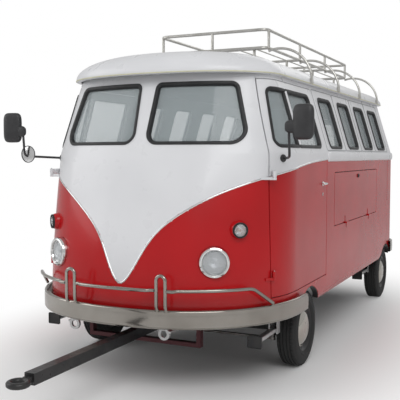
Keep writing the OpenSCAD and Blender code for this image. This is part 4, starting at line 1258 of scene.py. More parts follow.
    def build(self) -> None:
        """Makes every painted panel."""
        def make(shell: Shell, name: str, body: str, node: str) -> None:
            """Makes one panel in the body's finishes."""
            shell.piece(name, body, self.finishes, 12.0, [node])
        make(self.nose(), "nose_skin", "root", "nose_panel")
        side, door, flap = self.side(), self.door(), self.flap()
        for hand in HANDS:
            make(side.on(hand), f"{hand}_side_skin", "root", f"{hand}_side_panel")
            make(door.on(hand), f"{hand}_door_skin", f"{hand}_door", f"{hand}_door")
            make(flap.on(hand), f"{hand}_flap_skin", f"{hand}_flap", f"{hand}_flap")
        make(weld(self.rear_half(False).both()), "tail_skin", "root", "tail_panel")
        door = weld(self.rear_half(True).both())
        corners = np.where(door.faces < 0, door.faces[:, :1], door.faces)
        high = door.points[corners, 2].mean(axis=1) > SHAPE.belt - 0.06
        door.finish[(door.finish == 0) & high] = 1
        make(door, "rear_door_skin", "rear_door", "rear_door")


# ---------------------------------------------------------------- glass and seals

GASKET = np.array([[-0.012, -0.019], [0.003, -0.019], [0.004, 0.001], [0.017, 0.001], [0.018, 0.004],
                   [0.014, 0.008], [0.008, 0.009], [-0.004, 0.005], [-0.011, -0.006]])


def glazed(opening: Opening, step: float) -> Shell:
    """A pane of glass, 6 mm thick, that fills an opening 20 mm under the skin.

    Args:
        opening: the opening.
        step: grid spacing.

    Returns:
        The pane.
    """
    z = np.asarray(opening.corners)[:, 1]
    s, _ = opening.girths(opening.outline(8))

    def region(u: Array, v: Array) -> Array:
        """Returns the distance outside the opening's outline."""
        p = SHAPE.skin(u, v)
        return opening.distance(p[..., 0 if opening.front else 1], v)
    us, vs = (lines(a.min() - step, a.max() + step, step=step) for a in (s, z))
    return Panel(us, vs, region, 0.006, 0.001, 0.02).shell()


@dataclass
class Glazing:
    """Window glass, its black rubber surrounds, the quarter-light bars and the grey strips that paint the
    shade of the grooves round the side windows.
    """

    # Heights of the grey lines that paint the groove shade round the side windows.
    joint: tuple[float, float] = (1.692, 2.205)

    @staticmethod
    def gasket(opening: Opening, count: int = 12) -> Shell:
        """Returns the rubber profile carried round an opening, with count points on each corner's arc."""
        return sweep(*opening.path(count), GASKET, closed=True)

    def groove_shade_line(self, at: float) -> Shell:
        """Builds a grey strip round a side window, raised over the skin, whose grey is the painted shade of
        the groove there.

        Args:
            at: the window's middle along Y.

        Returns:
            The strip.
        """
        half = PITCH / 2 - 0.004
        outline = Opening.box((at - half, self.joint[0]), (at + half, self.joint[1]), 0.02)
        flat = np.array([[-0.0035, -0.002], [0.0035, -0.002], [0.0028, 0.0016], [-0.0028, 0.0016]])
        return sweep(*outline.path(6), flat, True)

    def build(self) -> None:
        """Makes all glass and rubber."""
        glazed(SCREEN, 0.03).both().piece("windscreens", "root", [GLASS], 40.0)
        self.gasket(SCREEN, 14).both().piece("windscreen_seals", "root", [SEAL])
        panes = Shell.join([glazed(p, 0.05) for p in SIDE_PANES])
        panes.both().piece("side_windows", "root", [GLASS], 40.0, ["fixed_glass"])
        Shell.join([self.gasket(p) for p in SIDE_PANES]).both().piece("side_window_seals", "root", [SEAL])
        # Grey strips round the side windows, painted as the shade of their grooves.
        Shell.join([self.groove_shade_line(y) for y in PANE_Y]).both().piece("side_window_joints", "root", [GROOVE_SHADE])
        cab = Shell.join([glazed(CAB_FORE, 0.04), glazed(CAB_AFT, 0.04)])
        seals = Shell.join([self.gasket(CAB_FORE), self.gasket(CAB_AFT)])
        z = np.linspace(PANE_Z[0] + 0.006, PANE_Z[1] - 0.006, 9)
        s = SHAPE.side_at(BAR_Y, z)
        out = SHAPE.outward(s, z)
        bar = sweep(SHAPE.skin(s, z) + out * 0.004, out, bead(0.026, 0.012, 0.006, 9))
        for hand in HANDS:
            door = f"{hand}_door"
            cab.on(hand).piece(f"{door}_windows", door, [GLASS], 40.0, [f"{door}_glass"])
            seals.on(hand).piece(f"{door}_seals", door, [SEAL])
            bar.on(hand).piece(f"{hand}_quarter_bar", door, [WHITE])
        self.rear()

    def rear(self) -> None:
        """Makes the rear door's window and seal, on the leaning tail."""
        ring = Opening.box((-REAR_PANE, REAR_Z[0]), (REAR_PANE, REAR_Z[1]), 0.06).outline(10)[::-1]
        path, e = self.on_tail(ring), 1e-3
        slope = (self.on_tail(ring + (0, e)) - self.on_tail(ring - (0, e))) / (2 * e)
        out = unit(np.cross(slope, np.array([1.0, 0.0, 0.0])))
        sweep(path, out, GASKET, closed=True).piece("rear_window_seal", "rear_door", [SEAL])
        inner, outer = path - out * 0.026, path - out * 0.02
        skirt = grid(np.stack([inner, outer], axis=1), wrap_u=True)
        glass = weld(Shell.join([skirt, cap(outer), cap(inner[::-1])]))
        glass.piece("rear_window", "rear_door", [GLASS], 40.0, ["rear_door_glass"])

    @staticmethod
    def on_tail(ring: Array) -> Array:
        """Returns points of the tail's face at (x, z) pairs."""
        x, z = ring.T
        return np.stack([x, SHAPE.tail_start + SHAPE.tail_depth(z), z], axis=-1)


# ---------------------------------------------------------------- trim

@dataclass
class Trim:
    """Belt mouldings, the bright line between the paints, seals, louvres and flap fittings."""

    belt_z: float = 1.640
    louvre_y: float = SHAPE.tip + 2.71 + 1.58
    louvre_half: float = 0.055

    @staticmethod
    def on_skin(s: Array, z: Array, profile: Array, scale: Array | float = 1.0) -> Shell:
        """Returns a profile carried along the skin at girths s and heights z, with a scale at each point."""
        return sweep(SHAPE.skin(s, z), SHAPE.outward(s, z), profile, scale=scale)

    def belt(self) -> Shell:
        """Builds the raised moulding from the cab door round the tail corner, with a tapered front end.

        Returns:
            The left moulding.
        """
        start, corner = SHAPE.run_to(SHAPE.door_rear + 0.012), SHAPE.girth + SHAPE.straight
        s = np.concatenate([start + np.array([0.0, 0.004, 0.01, 0.02]), lines(start + 0.1, corner, step=0.4),
                            np.linspace(corner, corner + SHAPE.tail_arc, 14)[1:],
                            [corner + SHAPE.tail_arc + 0.28]])
        size = np.ones(len(s))
        size[:4] = (0.05, 0.55, 0.85, 1.0)
        return self.on_skin(s, np.full(s.shape, self.belt_z), bead(0.082, 0.017, 0.001, 11), size)

    def paint_trim(self, s0: float, s1: float) -> Shell:
        """Returns the bright strip over the line between the paints, between two girths."""
        s = np.linspace(s0, s1, max(8, int(abs(s1 - s0) / 0.016)))
        return self.on_skin(s, SHAPE.paint_line(s), bead(0.013, 0.0045, 0.001, 5))

    @staticmethod
    def door_line() -> float:
        """Finds where the paint line crosses the seam.

        Returns:
            The girth there.
        """
        s = np.linspace(0.5, SHAPE.girth, 4000)
        z = SHAPE.paint_line(s)
        return float(s[np.argmin(np.abs(SHAPE.skin(s, z)[..., 1] - SHAPE.seam(z)))])

    def gap_seal(self) -> Shell:
        """Builds a black strip deep in the gap round the left cab door, on the body's side.

        Returns:
            The strips ahead of, behind and below the door.
        """
        gap, half = SHAPE.gap, 0.0012
        strip = ribbon(half, -0.036, -0.012)
        z = np.linspace(DOOR_LOW - gap / 2, DOOR_TOP + gap / 2, 60)
        front = SHAPE.side_at(SHAPE.seam(z) + half, z)
        rear = np.full(60, SHAPE.run_to(SHAPE.door_rear + gap - half))
        low = np.linspace(float(front[0]), float(rear[0]), 40)
        return Shell.join([self.on_skin(front, z, strip), self.on_skin(rear, z, strip),
                           self.on_skin(low, np.full(40, DOOR_LOW - gap + half), strip)])

    def louvres(self) -> Shell:
        """Builds a column of raised air louvres on the left rear quarter.

        Each stands out by 7 mm times sqrt(1 - (a / half)^2) times sin(pi q)^0.8,
        a along it and q up it.

        Returns:
            The louvres.
        """
        half = self.louvre_half
        a, q = np.meshgrid(np.linspace(-half, half, 9), np.linspace(0, 1, 9), indexing="ij")
        height = 0.007 * (1 - (a / half) ** 2) ** 0.5 * np.sin(np.pi * q) ** 0.8
        parts = []
        for at in np.arange(1.14, 1.585, 0.026):
            front = np.stack([SHAPE.half_w + height - 0.0005, self.louvre_y + a, at + 0.016 * (q - 0.5)],
                             axis=-1)
            back = front[:, ::-1] * (0, 1, 1) + (SHAPE.half_w - 0.0025, 0, 0)
            loop = np.concatenate([front, back], axis=1)
            parts.append(weld(Shell.join([grid(loop, wrap_v=True), cap(loop[0]), cap(loop[-1][::-1])])))
        return Shell.join(parts)

    @staticmethod
    def flap_axis() -> tuple[float, float]:
        """Returns the left flap's hinge axis as (x, z), read from its joint."""
        place = next(j for j in frame["joints"] if j["name"] == "left_flap_fold")["pos_m"]
        return float(place[0]), float(place[2])

    def flap_fittings(self) -> Shell:
        """Builds the hinge knuckles, leaves and the round latch of the left flap.

        Returns:
            The fittings; the latch has finish 1.
        """
        x, z = self.flap_axis()
        side, low = SHAPE.half_w, FLAP_Z[0]
        knuckle = lathe([(0.0, -0.022), (0.0085, -0.022), (0.0095, -0.021), (0.0095, 0.021), (0.0085, 0.022),
                         (0.0, 0.022)], 20)
        parts = []
        for y in FLAP_HINGES:
            parts.append(knuckle.moved(AHEAD_OUT, (x, y, z)))
            parts.append(box_shell((side - 0.001, y - 0.022, low), (side + 0.003, y + 0.022, low + 0.06)))
        latch = lathe([(0.0, 0.0), (0.018, 0.0), (0.019, 0.004), (0.017, 0.010), (0.010, 0.013),
                       (0.0095, 0.011), (0.0, 0.011)], 28)
        parts.append(latch.painted(1).moved(LEFT_OUT, (side, sum(FLAP_Y) / 2, FLAP_Z[1] - 0.045)))
        return Shell.join(parts)

    def build(self) -> None:
        """Makes every strip and fitting."""
        self.belt().both().piece("belt_mouldings", "root", [WHITE], 50.0)
        cross = self.door_line()
        self.paint_trim(-cross + 0.004, cross - 0.004).piece("nose_paint_trim", "root", [SILVER], 50.0)
        door = self.paint_trim(cross + 0.008, SHAPE.run_to(SHAPE.door_rear - 0.004))
        fittings = self.flap_fittings()
        for hand in HANDS:
            door.on(hand).piece(f"{hand}_door_paint_trim", f"{hand}_door", [SILVER], 50.0)
            fittings.on(hand).piece(f"{hand}_flap_fittings", f"{hand}_flap", [RED, MOULDED])
        self.gap_seal().both().piece("door_gap_seals", "root", [SEAL])
        self.louvres().both().piece("quarter_louvres", "root", [RED])


# ---------------------------------------------------------------- roof

@dataclass
class Roof:
    """The domed roof with its overhanging eave, and the rack and hoops on it."""

    base: float = 2.235
    rise: float = 0.2
    power: float = 3.0
    half_w: float = 0.8716
    nose: float = 0.5107
    tail_r: float = 0.2216
    mid: float = SHAPE.tip + 0.8707
    thick: float = 0.04
    eave: float = 0.012
    rack_w: float = 1.035
    rack_top: float = 2.72
    rack_high: float = 0.164
    rack_y: tuple[float, float] = (SHAPE.axle_front + 0.34, SHAPE.axle_rear + 0.01)
    tube: float = 0.013
    hoop: float = 0.011

    @property
    def posts(self) -> Array:
        """Returns the places of the rack's posts and hoops along Y."""
        return np.linspace(self.rack_y[0] + 0.04, self.rack_y[1] - 0.04, 4)

    def ring(self, share: Array | Sequence[float], inset: float = 0.0) -> Array:
        """Half outlines of the dome at shares of its size, from the nose's middle round to the tail's.

        Args:
            share: the sizes.
            inset: how far the base is drawn in.

        Returns:
            An array of (girth points, shares, 2).
        """
        w, b, r = self.half_w - inset, self.nose - inset, self.tail_r - inset
        share, end = np.asarray(share)[None, :], SHAPE.tail_start
        t = SHAPE.turn(np.linspace(0.0, 1.0, 40))[:, None]
        nose = np.stack([w * share * np.sin(t) ** (2 / SHAPE.power), self.mid - b * share * np.cos(t)],
                        axis=-1)
        run = np.linspace(0.0, 1.0, 14)[1:-1, None]
        side = np.stack([w * share + 0 * run, self.mid + (end - self.mid) * run + 0 * share], axis=-1)
        q = np.linspace(0.0, math.pi / 2, 14)[:, None]
        corner = np.stack([(w - r + r * np.cos(q)) * share, end + r * share * np.sin(q)], axis=-1)
        flat = np.linspace(1.0, 0.0, 10)[1:, None]
        rear = np.stack([(w - r) * share * flat, end + r * share + 0 * flat], axis=-1)
        return np.concatenate([nose, side, corner, rear], axis=0)

    def rows(self, share: Array | Sequence[float], inset: float, z: Array | Sequence[float]) -> Array:
        """Outlines at their heights.

        Args:
            share: the outlines' sizes.
            inset: how far the base is drawn in.
            z: their heights over the dome's base.

        Returns:
            An array of (girth points, shares, 3).
        """
        ring = self.ring(share, inset)
        high = np.broadcast_to(self.base + np.asarray(z)[None, :, None], ring.shape[:2] + (1,))
        return np.concatenate([ring, high], axis=-1)

    def dome(self) -> Shell:
        """The roof's shell: outer dome, a rolled eave and the inner lining.

        Height is base + rise u, and the outline's share is (1 - u^2)^(1/3).

        Returns:
            The roof; the lining has finish 1.
        """
        u = np.sin(np.linspace(0.0, math.pi / 2, 26))
        share = np.clip(1 - u * u, 0, 1) ** (1 / self.power)
        low = 0.995 * self.rise - self.thick
        inner = self.rows(share[:-1], self.thick, 0.004 + low * u[:-1])
        stack = np.concatenate([self.rows([0.0], self.thick, [0.004 + low]), inner[:, ::-1],
                                self.rows([1.0], self.thick, [0.001]), self.rows([1.0], 0.006, [0.002]),
                                self.rows(share, 0.0, self.eave + (self.rise - self.eave) * u)], axis=1)
        half = grid(stack)
        half.finish[np.arange(len(half.faces)) % (stack.shape[1] - 1) < inner.shape[1] + 1] = 1
        return weld(half.both(), 1e-5)

    def edge_line(self) -> Shell:
        """Builds the cream sealer line along the eave's lower edge.

        Returns:
            The line.
        """
        ring = self.rows([1.0], 0.0, [0.009])[:, 0]
        loop = np.vstack([ring, ring[-2:0:-1] * (-1, 1, 1)])
        out = np.cross(unit(np.roll(loop, -1, axis=0) - np.roll(loop, 1, axis=0)), UP)
        flat = np.array([[-0.004, -0.004], [0.004, -0.004], [0.003, 0.002], [-0.003, 0.002]])
        return sweep(loop, out, flat, True)

    def roof_z(self, x: float) -> float:
        """Returns the height of the dome over x on its straight part."""
        share = abs(x) / self.half_w
        return self.base + self.eave + (self.rise - self.eave) * math.sqrt(1 - share ** self.power)

    def rack(self) -> Shell:
        """Builds two rounded tube loops, posts, floor bars and feet.

        Returns:
            The rack.
        """
        x, r = self.rack_w / 2 - self.tube, self.tube
        low, top = self.rack_top - self.rack_high, self.rack_top - r
        y0, y1 = self.rack_y
        plate = lathe([(0.0, 0.0), (0.034, 0.0), (0.036, 0.004), (0.034, 0.008), (0.018, 0.010),
                       (0.0, 0.010)], 24)
        parts = [tube([(-x, y0, z), (x, y0, z), (x, y1, z), (-x, y1, z)], r, 0.07, True) for z in (low, top)]
        for y in self.posts:
            parts += [tube([(s * x, y, low), (s * x, y, top)], r - 0.001) for s in (-1, 1)]
            parts.append(tube([(-x, y, low), (x, y, low)], r - 0.001))
            for foot in (0.13 - x, x - 0.13):
                z = self.roof_z(foot)
                parts.append(tube([(foot, y, z - 0.002), (foot, y, low)], r - 0.001))
                parts.append(plate.shifted((foot, y, z - 0.003)))
        parts += [tube([(0, y, low), (0, y, top)], r - 0.001) for y in (y0, y1)]
        across = np.linspace(0.12 - x, x - 0.12, 6)
        parts += [tube([(at, y0, low), (at, y1, low)], 0.0065, sides=8) for at in across]
        return Shell.join(parts)

    def hoops(self) -> Shell:
        """Builds arched tubes from the eave's bolted feet up to the rack, on both sides.

        A hoop is an arc of radius (a^2 + b^2) / 2a, for a run of a inwards and b upwards.

        Returns:
            The hoops.
        """
        r, w = self.hoop, self.half_w
        foot_x, foot_z = w + r + 0.002, self.base + 0.024
        span_x = foot_x - (self.rack_w / 2 - self.tube)
        span_z = self.rack_top - self.rack_high - self.tube - r - foot_z - 0.001
        arc_r = (span_x ** 2 + span_z ** 2) / (2 * span_x)
        end = math.asin(span_z / arc_r)
        t = np.linspace(0.0, math.pi - end if span_x > arc_r else end, 22)
        bolt = lathe([(0.0, 0.0), (0.007, 0.0), (0.007, 0.005), (0.005, 0.007), (0.0, 0.007)], 6)
        parts = []
        for y in self.posts:
            arc = np.stack([foot_x - arc_r + arc_r * np.cos(t), np.full(22, y), foot_z + arc_r * np.sin(t)],
                           axis=1)
            parts += [sweep(arc, (0.0, 1.0, 0.0), circle(r, 14)),
                      box_shell((w - 0.001, y - 0.018, foot_z - 0.02), (w + 0.006, y + 0.018, foot_z + 0.03)),
                      box_shell((w, y - 0.012, foot_z - 0.018), (foot_x + r, y + 0.012, foot_z + 0.002))]
            parts += [bolt.moved(LEFT_OUT, (w + 0.006, y + 0.011, foot_z + dz)) for dz in (-0.006, 0.018)]
        return Shell.join(parts).both()

    def build(self) -> None:
        """Makes roof, sealer line, rack and hoops."""
        self.dome().piece("roof_dome", "root", (WHITE, LINING), 35.0, ["roof_panel"])
        self.edge_line().piece("eave_sealer", "root", [CREAM])
        self.rack().piece("rack_tubes", "root", [BRUSHED], 40.0, ["roof_rack"])
        self.hoops().piece("hoop_tubes", "root", [BRUSHED], 40.0, ["roof_hoops"])


# ---------------------------------------------------------------- fittings

@dataclass
class Lamps:
    """Head lamps, turn lamps, tail lamps and the blank rear plate."""

    @staticmethod
    def ribbed_lens(r: float, rise: float, pitch: float, rings: bool) -> Shell:
        """A domed lens with ribs on its face.

        Height is rise (1 - (q/r)^2) plus 0.6 mm of ripple across, or round if rings.

        Args:
            r: its radius.
            rise: its dome's height.
            pitch: spacing of the ribs.
            rings: whether the ribs are rings.

        Returns:
            The lens, with its axis along +Z.
        """
        q, t = np.meshgrid(np.linspace(0.0, r, 26), 2 * np.pi * np.arange(64) / 64, indexing="ij")
        x, y = q * np.cos(t), q * np.sin(t)
        ripple = np.cos(2 * np.pi * (q if rings else x) / pitch) * np.clip((r - q) / (0.1 * r), 0, 1)
        z = rise * (1 - (q / r) ** 2) + 0.0006 * ripple * (q > 0)
        z[0] = z[0].mean()
        front = grid(np.stack([x, y, z], axis=-1), wrap_v=True)
        back = lathe([(0.0, -0.004), (r, -0.004), (r, 0.0)], 64, False)
        return weld(Shell.join([front, back]), 1e-5)

    @staticmethod
    def place(name: str, at: LampPlace, shells: Sequence[Shell], finishes: Sequence[Finish],
              nodes: Sequence[str] = ()) -> None:
        """Sets lamp parts on both sides of the nose.

        Args:
            name: the piece's name.
            at: the lamp's place.
            shells: its parts, along +Z.
            finishes: their finishes.
            nodes: the CAD nodes it stands for.
        """
        one = Shell.join([shell.painted(i) for i, shell in enumerate(shells)])
        one.moved(at.axes(), at.centre()).both().piece(name, "root", finishes, 35.0, nodes)

    def build(self) -> None:
        """Makes all lamps and the plate."""
        self.head()
        self.turn()
        self.tail()

    def head(self) -> None:
        """Makes the head lamps: chrome rings on dark backs, reflectors with bulbs, and lenses."""
        ring = lathe([(0.100, -0.07), (0.1065, -0.03), (0.107, -0.004), (0.1065, 0.008), (0.102, 0.017),
                      (0.094, 0.021), (0.086, 0.018), (0.081, 0.010), (0.080, 0.002), (0.078, 0.0),
                      (0.078, -0.01)], 72)
        dish = bowl([(0.0, -0.062), (0.010, -0.062), (0.03, -0.055), (0.055, -0.038), (0.072, -0.016),
                     (0.079, -0.002)])
        bulb = lathe([(0.0, -0.06), (0.009, -0.06), (0.009, -0.045), (0.014, -0.036), (0.014, -0.026),
                      (0.008, -0.018), (0.0, -0.016)], 24)
        back = lathe([(0.0, -0.075), (0.1, -0.075), (0.1, -0.07)])
        self.place("headlamp_rings", HEADLAMP, [ring, back], (CHROME, CHASSIS), ["front_lamps"])
        self.place("headlamp_reflectors", HEADLAMP, [dish, bulb], (SILVER, CLEAR))
        self.place("headlamp_lenses", HEADLAMP, [self.ribbed_lens(0.0800, 0.017, 0.011, False)], (CLEAR,))

    def turn(self) -> None:
        """Makes the turn lamps: rubbers, painted seats, reflectors with bulbs, and ringed lenses."""
        at = TURN_LAMP.set_back(0.034, 5.0)
        rubber = lathe([(0.050, -0.02), (0.0548, -0.006), (0.055, 0.004), (0.052, 0.011), (0.047, 0.012),
                        (0.0435, 0.007), (0.043, -0.004)], 60)
        seat = lathe([(0.075, -0.08), (0.068, -0.05), (0.062, -0.022), (0.058, -0.009), (0.054, -0.004),
                      (0.048, -0.004)], 60)
        dish = bowl([(0.0, -0.03), (0.02, -0.028), (0.038, -0.012), (0.043, -0.002)], 60)
        bulb = lathe([(0.0, -0.029), (0.007, -0.028), (0.011, -0.016), (0.008, -0.006), (0.0, -0.003)], 24)
        self.place("turn_lamp_rubbers", at, [rubber], (SEAL,))
        self.place("turn_lamp_seats", at, [seat], (RED,))
        self.place("turn_lamp_reflectors", at, [dish, bulb], (SILVER, AMBER))
        self.place("turn_lamp_lenses", at, [self.ribbed_lens(0.0432, 0.013, 0.006, True)], (CLEAR,))

    def tail(self) -> None:
        """Makes round red tail lamps in chrome rings, small reflectors and the blank plate."""
        axes = facing(24.0, 1.0)
        out = axes[:, 2]
        corner = np.array([SHAPE.half_w - SHAPE.tail_r, SHAPE.tail_start, 0.93])
        centre = corner + out * (SHAPE.tail_r + 0.004)
        ring = lathe([(0.054, -0.04), (0.0595, -0.02), (0.060, 0.012), (0.057, 0.02), (0.052, 0.021),
                      (0.0495, 0.012), (0.049, 0.0)], 56)
        lens = self.ribbed_lens(0.0495, 0.018, 0.009, True)
        small = lathe([(0.0, 0.0), (0.026, 0.0), (0.027, 0.004), (0.024, 0.008), (0.0, 0.0095)], 40)
        plate = box_shell((-0.26, SHAPE.tail + 0.051, 0.522), (0.26, SHAPE.tail + 0.054, 0.632))
        ring.moved(axes, centre).both().piece("tail_lamp_rings", "root", [CHROME], 35.0, ["tail_lamps"])
        lens.moved(axes, centre + out * 0.008).both().piece("tail_lamp_lenses", "root", [RED_LENS], 35.0)
        small = small.moved(BACK_OUT, (0.56, SHAPE.tail, 0.80))
        small.both().piece("rear_reflectors", "root", [RED_LENS], 35.0)
        plate.piece("blank_rear_plate", "root", [LINING], 30.0, bevel=0.0015)


@dataclass
class Bumpers:
    """Polished bumpers, the tube rail and the overriders."""

    gap: float = 0.078
    spread: float = 0.62
    rear_gap: float = 0.06
    low: float = 0.49
    height: float = 0.13
    rail_gap: float = 0.101
    rail_z: float = 0.756
    over_x: float = 0.36
    over_r: float = 0.034
    tube: float = 0.012

    def face(self, x: Array | float, gap: float) -> Array:
        """Place along Y of the bumper's face at x: the nose's sill outline moved out by gap.

        Args:
            x: places across.
            gap: how far it is moved out.

        Returns:
            The places along Y.
        """
        share = np.abs(x) / (SHAPE.half_w + gap * self.spread)
        return SHAPE.nose_end - (SHAPE.nose_len + gap) * np.sqrt(np.clip(1 - share ** SHAPE.power, 0, 1))

    def bar(self, line: Array, low: float) -> Shell:
        """A shallow channel with rolled edges, carried along a level line.

        Args:
            line: the face's (x, y) points, from right to left at the front.
            low: the height of its lower edge.

        Returns:
            The bar.
        """
        h = self.height / 2
        edge = [(h * 0.5, -0.0005), (h - 0.016, -0.0025), (h - 0.010, -0.001), (h - 0.003, -0.005),
                (h, -0.011), (h, -0.022), (h - 0.004, -0.026)]
        inner = [(h - 0.005, -0.012), (h - 0.012, -0.007), (0.0, -0.005), (0.012 - h, -0.007),
                 (0.005 - h, -0.012)]
        profile = np.array(([(-a, b) for a, b in edge[::-1]] + [(0.0, 0.0)] + edge + inner)[::-1])
        along = unit(np.gradient(line, axis=0))
        out = np.stack([along[:, 1], -along[:, 0], 0 * along[:, 0]], axis=1)
        return sweep(np.column_stack([line, np.full(len(line), low + h)]), out, profile)

    def front(self) -> Shell:
        """Builds the front bumper round the nose, with its upper ends rounded off.

        Returns:
            The bumper.
        """
        w, end, r = SHAPE.half_w + self.gap * self.spread, SHAPE.axle_front - 0.205, 0.042
        x, y = SHAPE.outline(SHAPE.turn(np.linspace(0.0, 1.0, 70)), w, SHAPE.nose_len + self.gap)
        shares = np.concatenate([np.linspace(0, 0.72, 4)[1:],
                                 1 - 0.28 * np.array([0.75, 0.5, 0.3, 0.15, 0.05, 0.0])])
        half = np.stack([np.append(x, np.full(len(shares), w)),
                         np.append(y, SHAPE.nose_end + (end - SHAPE.nose_end) * shares)], axis=1)
        shell = self.bar(np.vstack([half[::-1] * (-1, 1), half[1:]]), self.low)
        d = np.clip(end - shell.points[:, 1], 0.0, r)
        top = self.low + self.height - r + np.sqrt(r * r - (r - d) ** 2)
        shell.points[:, 2] = np.where(d < r, np.minimum(shell.points[:, 2], top), shell.points[:, 2])
        return shell

    def rear(self) -> Shell:
        """Builds the rear bumper round the tail's corners.

        Returns:
            The bumper.
        """
        gap, r, start = self.rear_gap, SHAPE.tail_r, SHAPE.tail_start
        w = SHAPE.half_w + gap / 2
        q = np.linspace(0.0, math.pi / 2, 24)
        x = np.concatenate([[w, w], w - r + r * np.cos(q), np.linspace(w - r, 0, 10)[1:]])
        y = np.concatenate([[start - 0.06, start - 0.03], start + (r + gap) * np.sin(q),
                            np.full(9, SHAPE.tail + gap)])
        half = np.stack([x, y], axis=1)
        return self.bar(np.vstack([half, half[-2::-1] * (-1, 1)]), self.low + 0.025)

    def rails(self) -> Shell:
        """Builds the tube rail: one run between the overriders and one on each side, bent down to the bumper.

        Returns:
            The rails.
        """
        def run(x0: float, x1: float) -> Array:
            """Returns points of the rail between two places across."""
            x = np.linspace(x0, x1, 26)
            near = np.where(np.abs(np.abs(x) - self.over_x) < 0.092, self.over_x, x)
            return np.stack([x, self.face(near, self.rail_gap), np.full(26, self.rail_z)], axis=1)
        reach, bend, ring = self.over_x - 0.046, 0.04, circle(self.tube, 16)
        side = run(self.over_x + 0.046, 0.88)
        end = np.array([0.96, float(self.face(0.96, self.gap - 0.004)), self.low + self.height + 0.0115])
        corner = side[-1]
        a, b = corner + unit(side[-4] - corner) * bend, corner + unit(end - corner) * bend
        side = np.vstack([side[:-3], eased(a, corner, b, np.linspace(0, 1, 8)[:, None]), end])
        return Shell.join([sweep(run(-reach, reach), UP, ring), sweep(side, UP + (0.3, 0.2, 0), ring).both()])

    def overriders(self) -> Shell:
        """Builds two inverted U tubes on stand-offs.

        Returns:
            The overriders.
        """
        y, r = float(self.face(self.over_x, self.rail_gap)), self.over_r
        t = np.linspace(0.0, math.pi, 20)
        arc = np.stack([self.over_x + r * np.cos(t), np.full(20, y), 0.822 + r * np.sin(t)], axis=1)
        t = np.linspace(0.0, 1.0, 9)
        drop = np.stack([0 * t, 0.013 * t * t, -0.050 * t], axis=1)
        left, right = (np.array([self.over_x + e * r, y, 0.668]) + drop for e in (1, -1))
        seat = lathe([(0.0, 0.0), (0.0145, 0.0), (0.015, 0.002), (0.0145, 0.006), (0.012, 0.008),
                      (0.0, 0.009)], 24)
        top = self.low + self.height - 0.001
        seats = [seat.shifted((leg[-1, 0], leg[-1, 1], top)) for leg in (right, left)]
        bow = sweep(np.vstack([left[::-1], arc, right]), (0.0, 1.0, 0.2), circle(self.tube, 18))
        return Shell.join([bow, *seats]).both()

    def build(self) -> None:
        """Makes the bumpers, rails and overriders."""
        for shell, name, node in ((self.front(), "front_bumper_bar", "front_bumper"),
                                  (self.rear(), "rear_bumper_bar", "rear_bumper"),
                                  (self.rails(), "bumper_tube_rails", "bumper_rails"),
                                  (self.overriders(), "overrider_tubes", "overriders")):
            shell.piece(name, "root", [BUMPER], 40.0, [node])


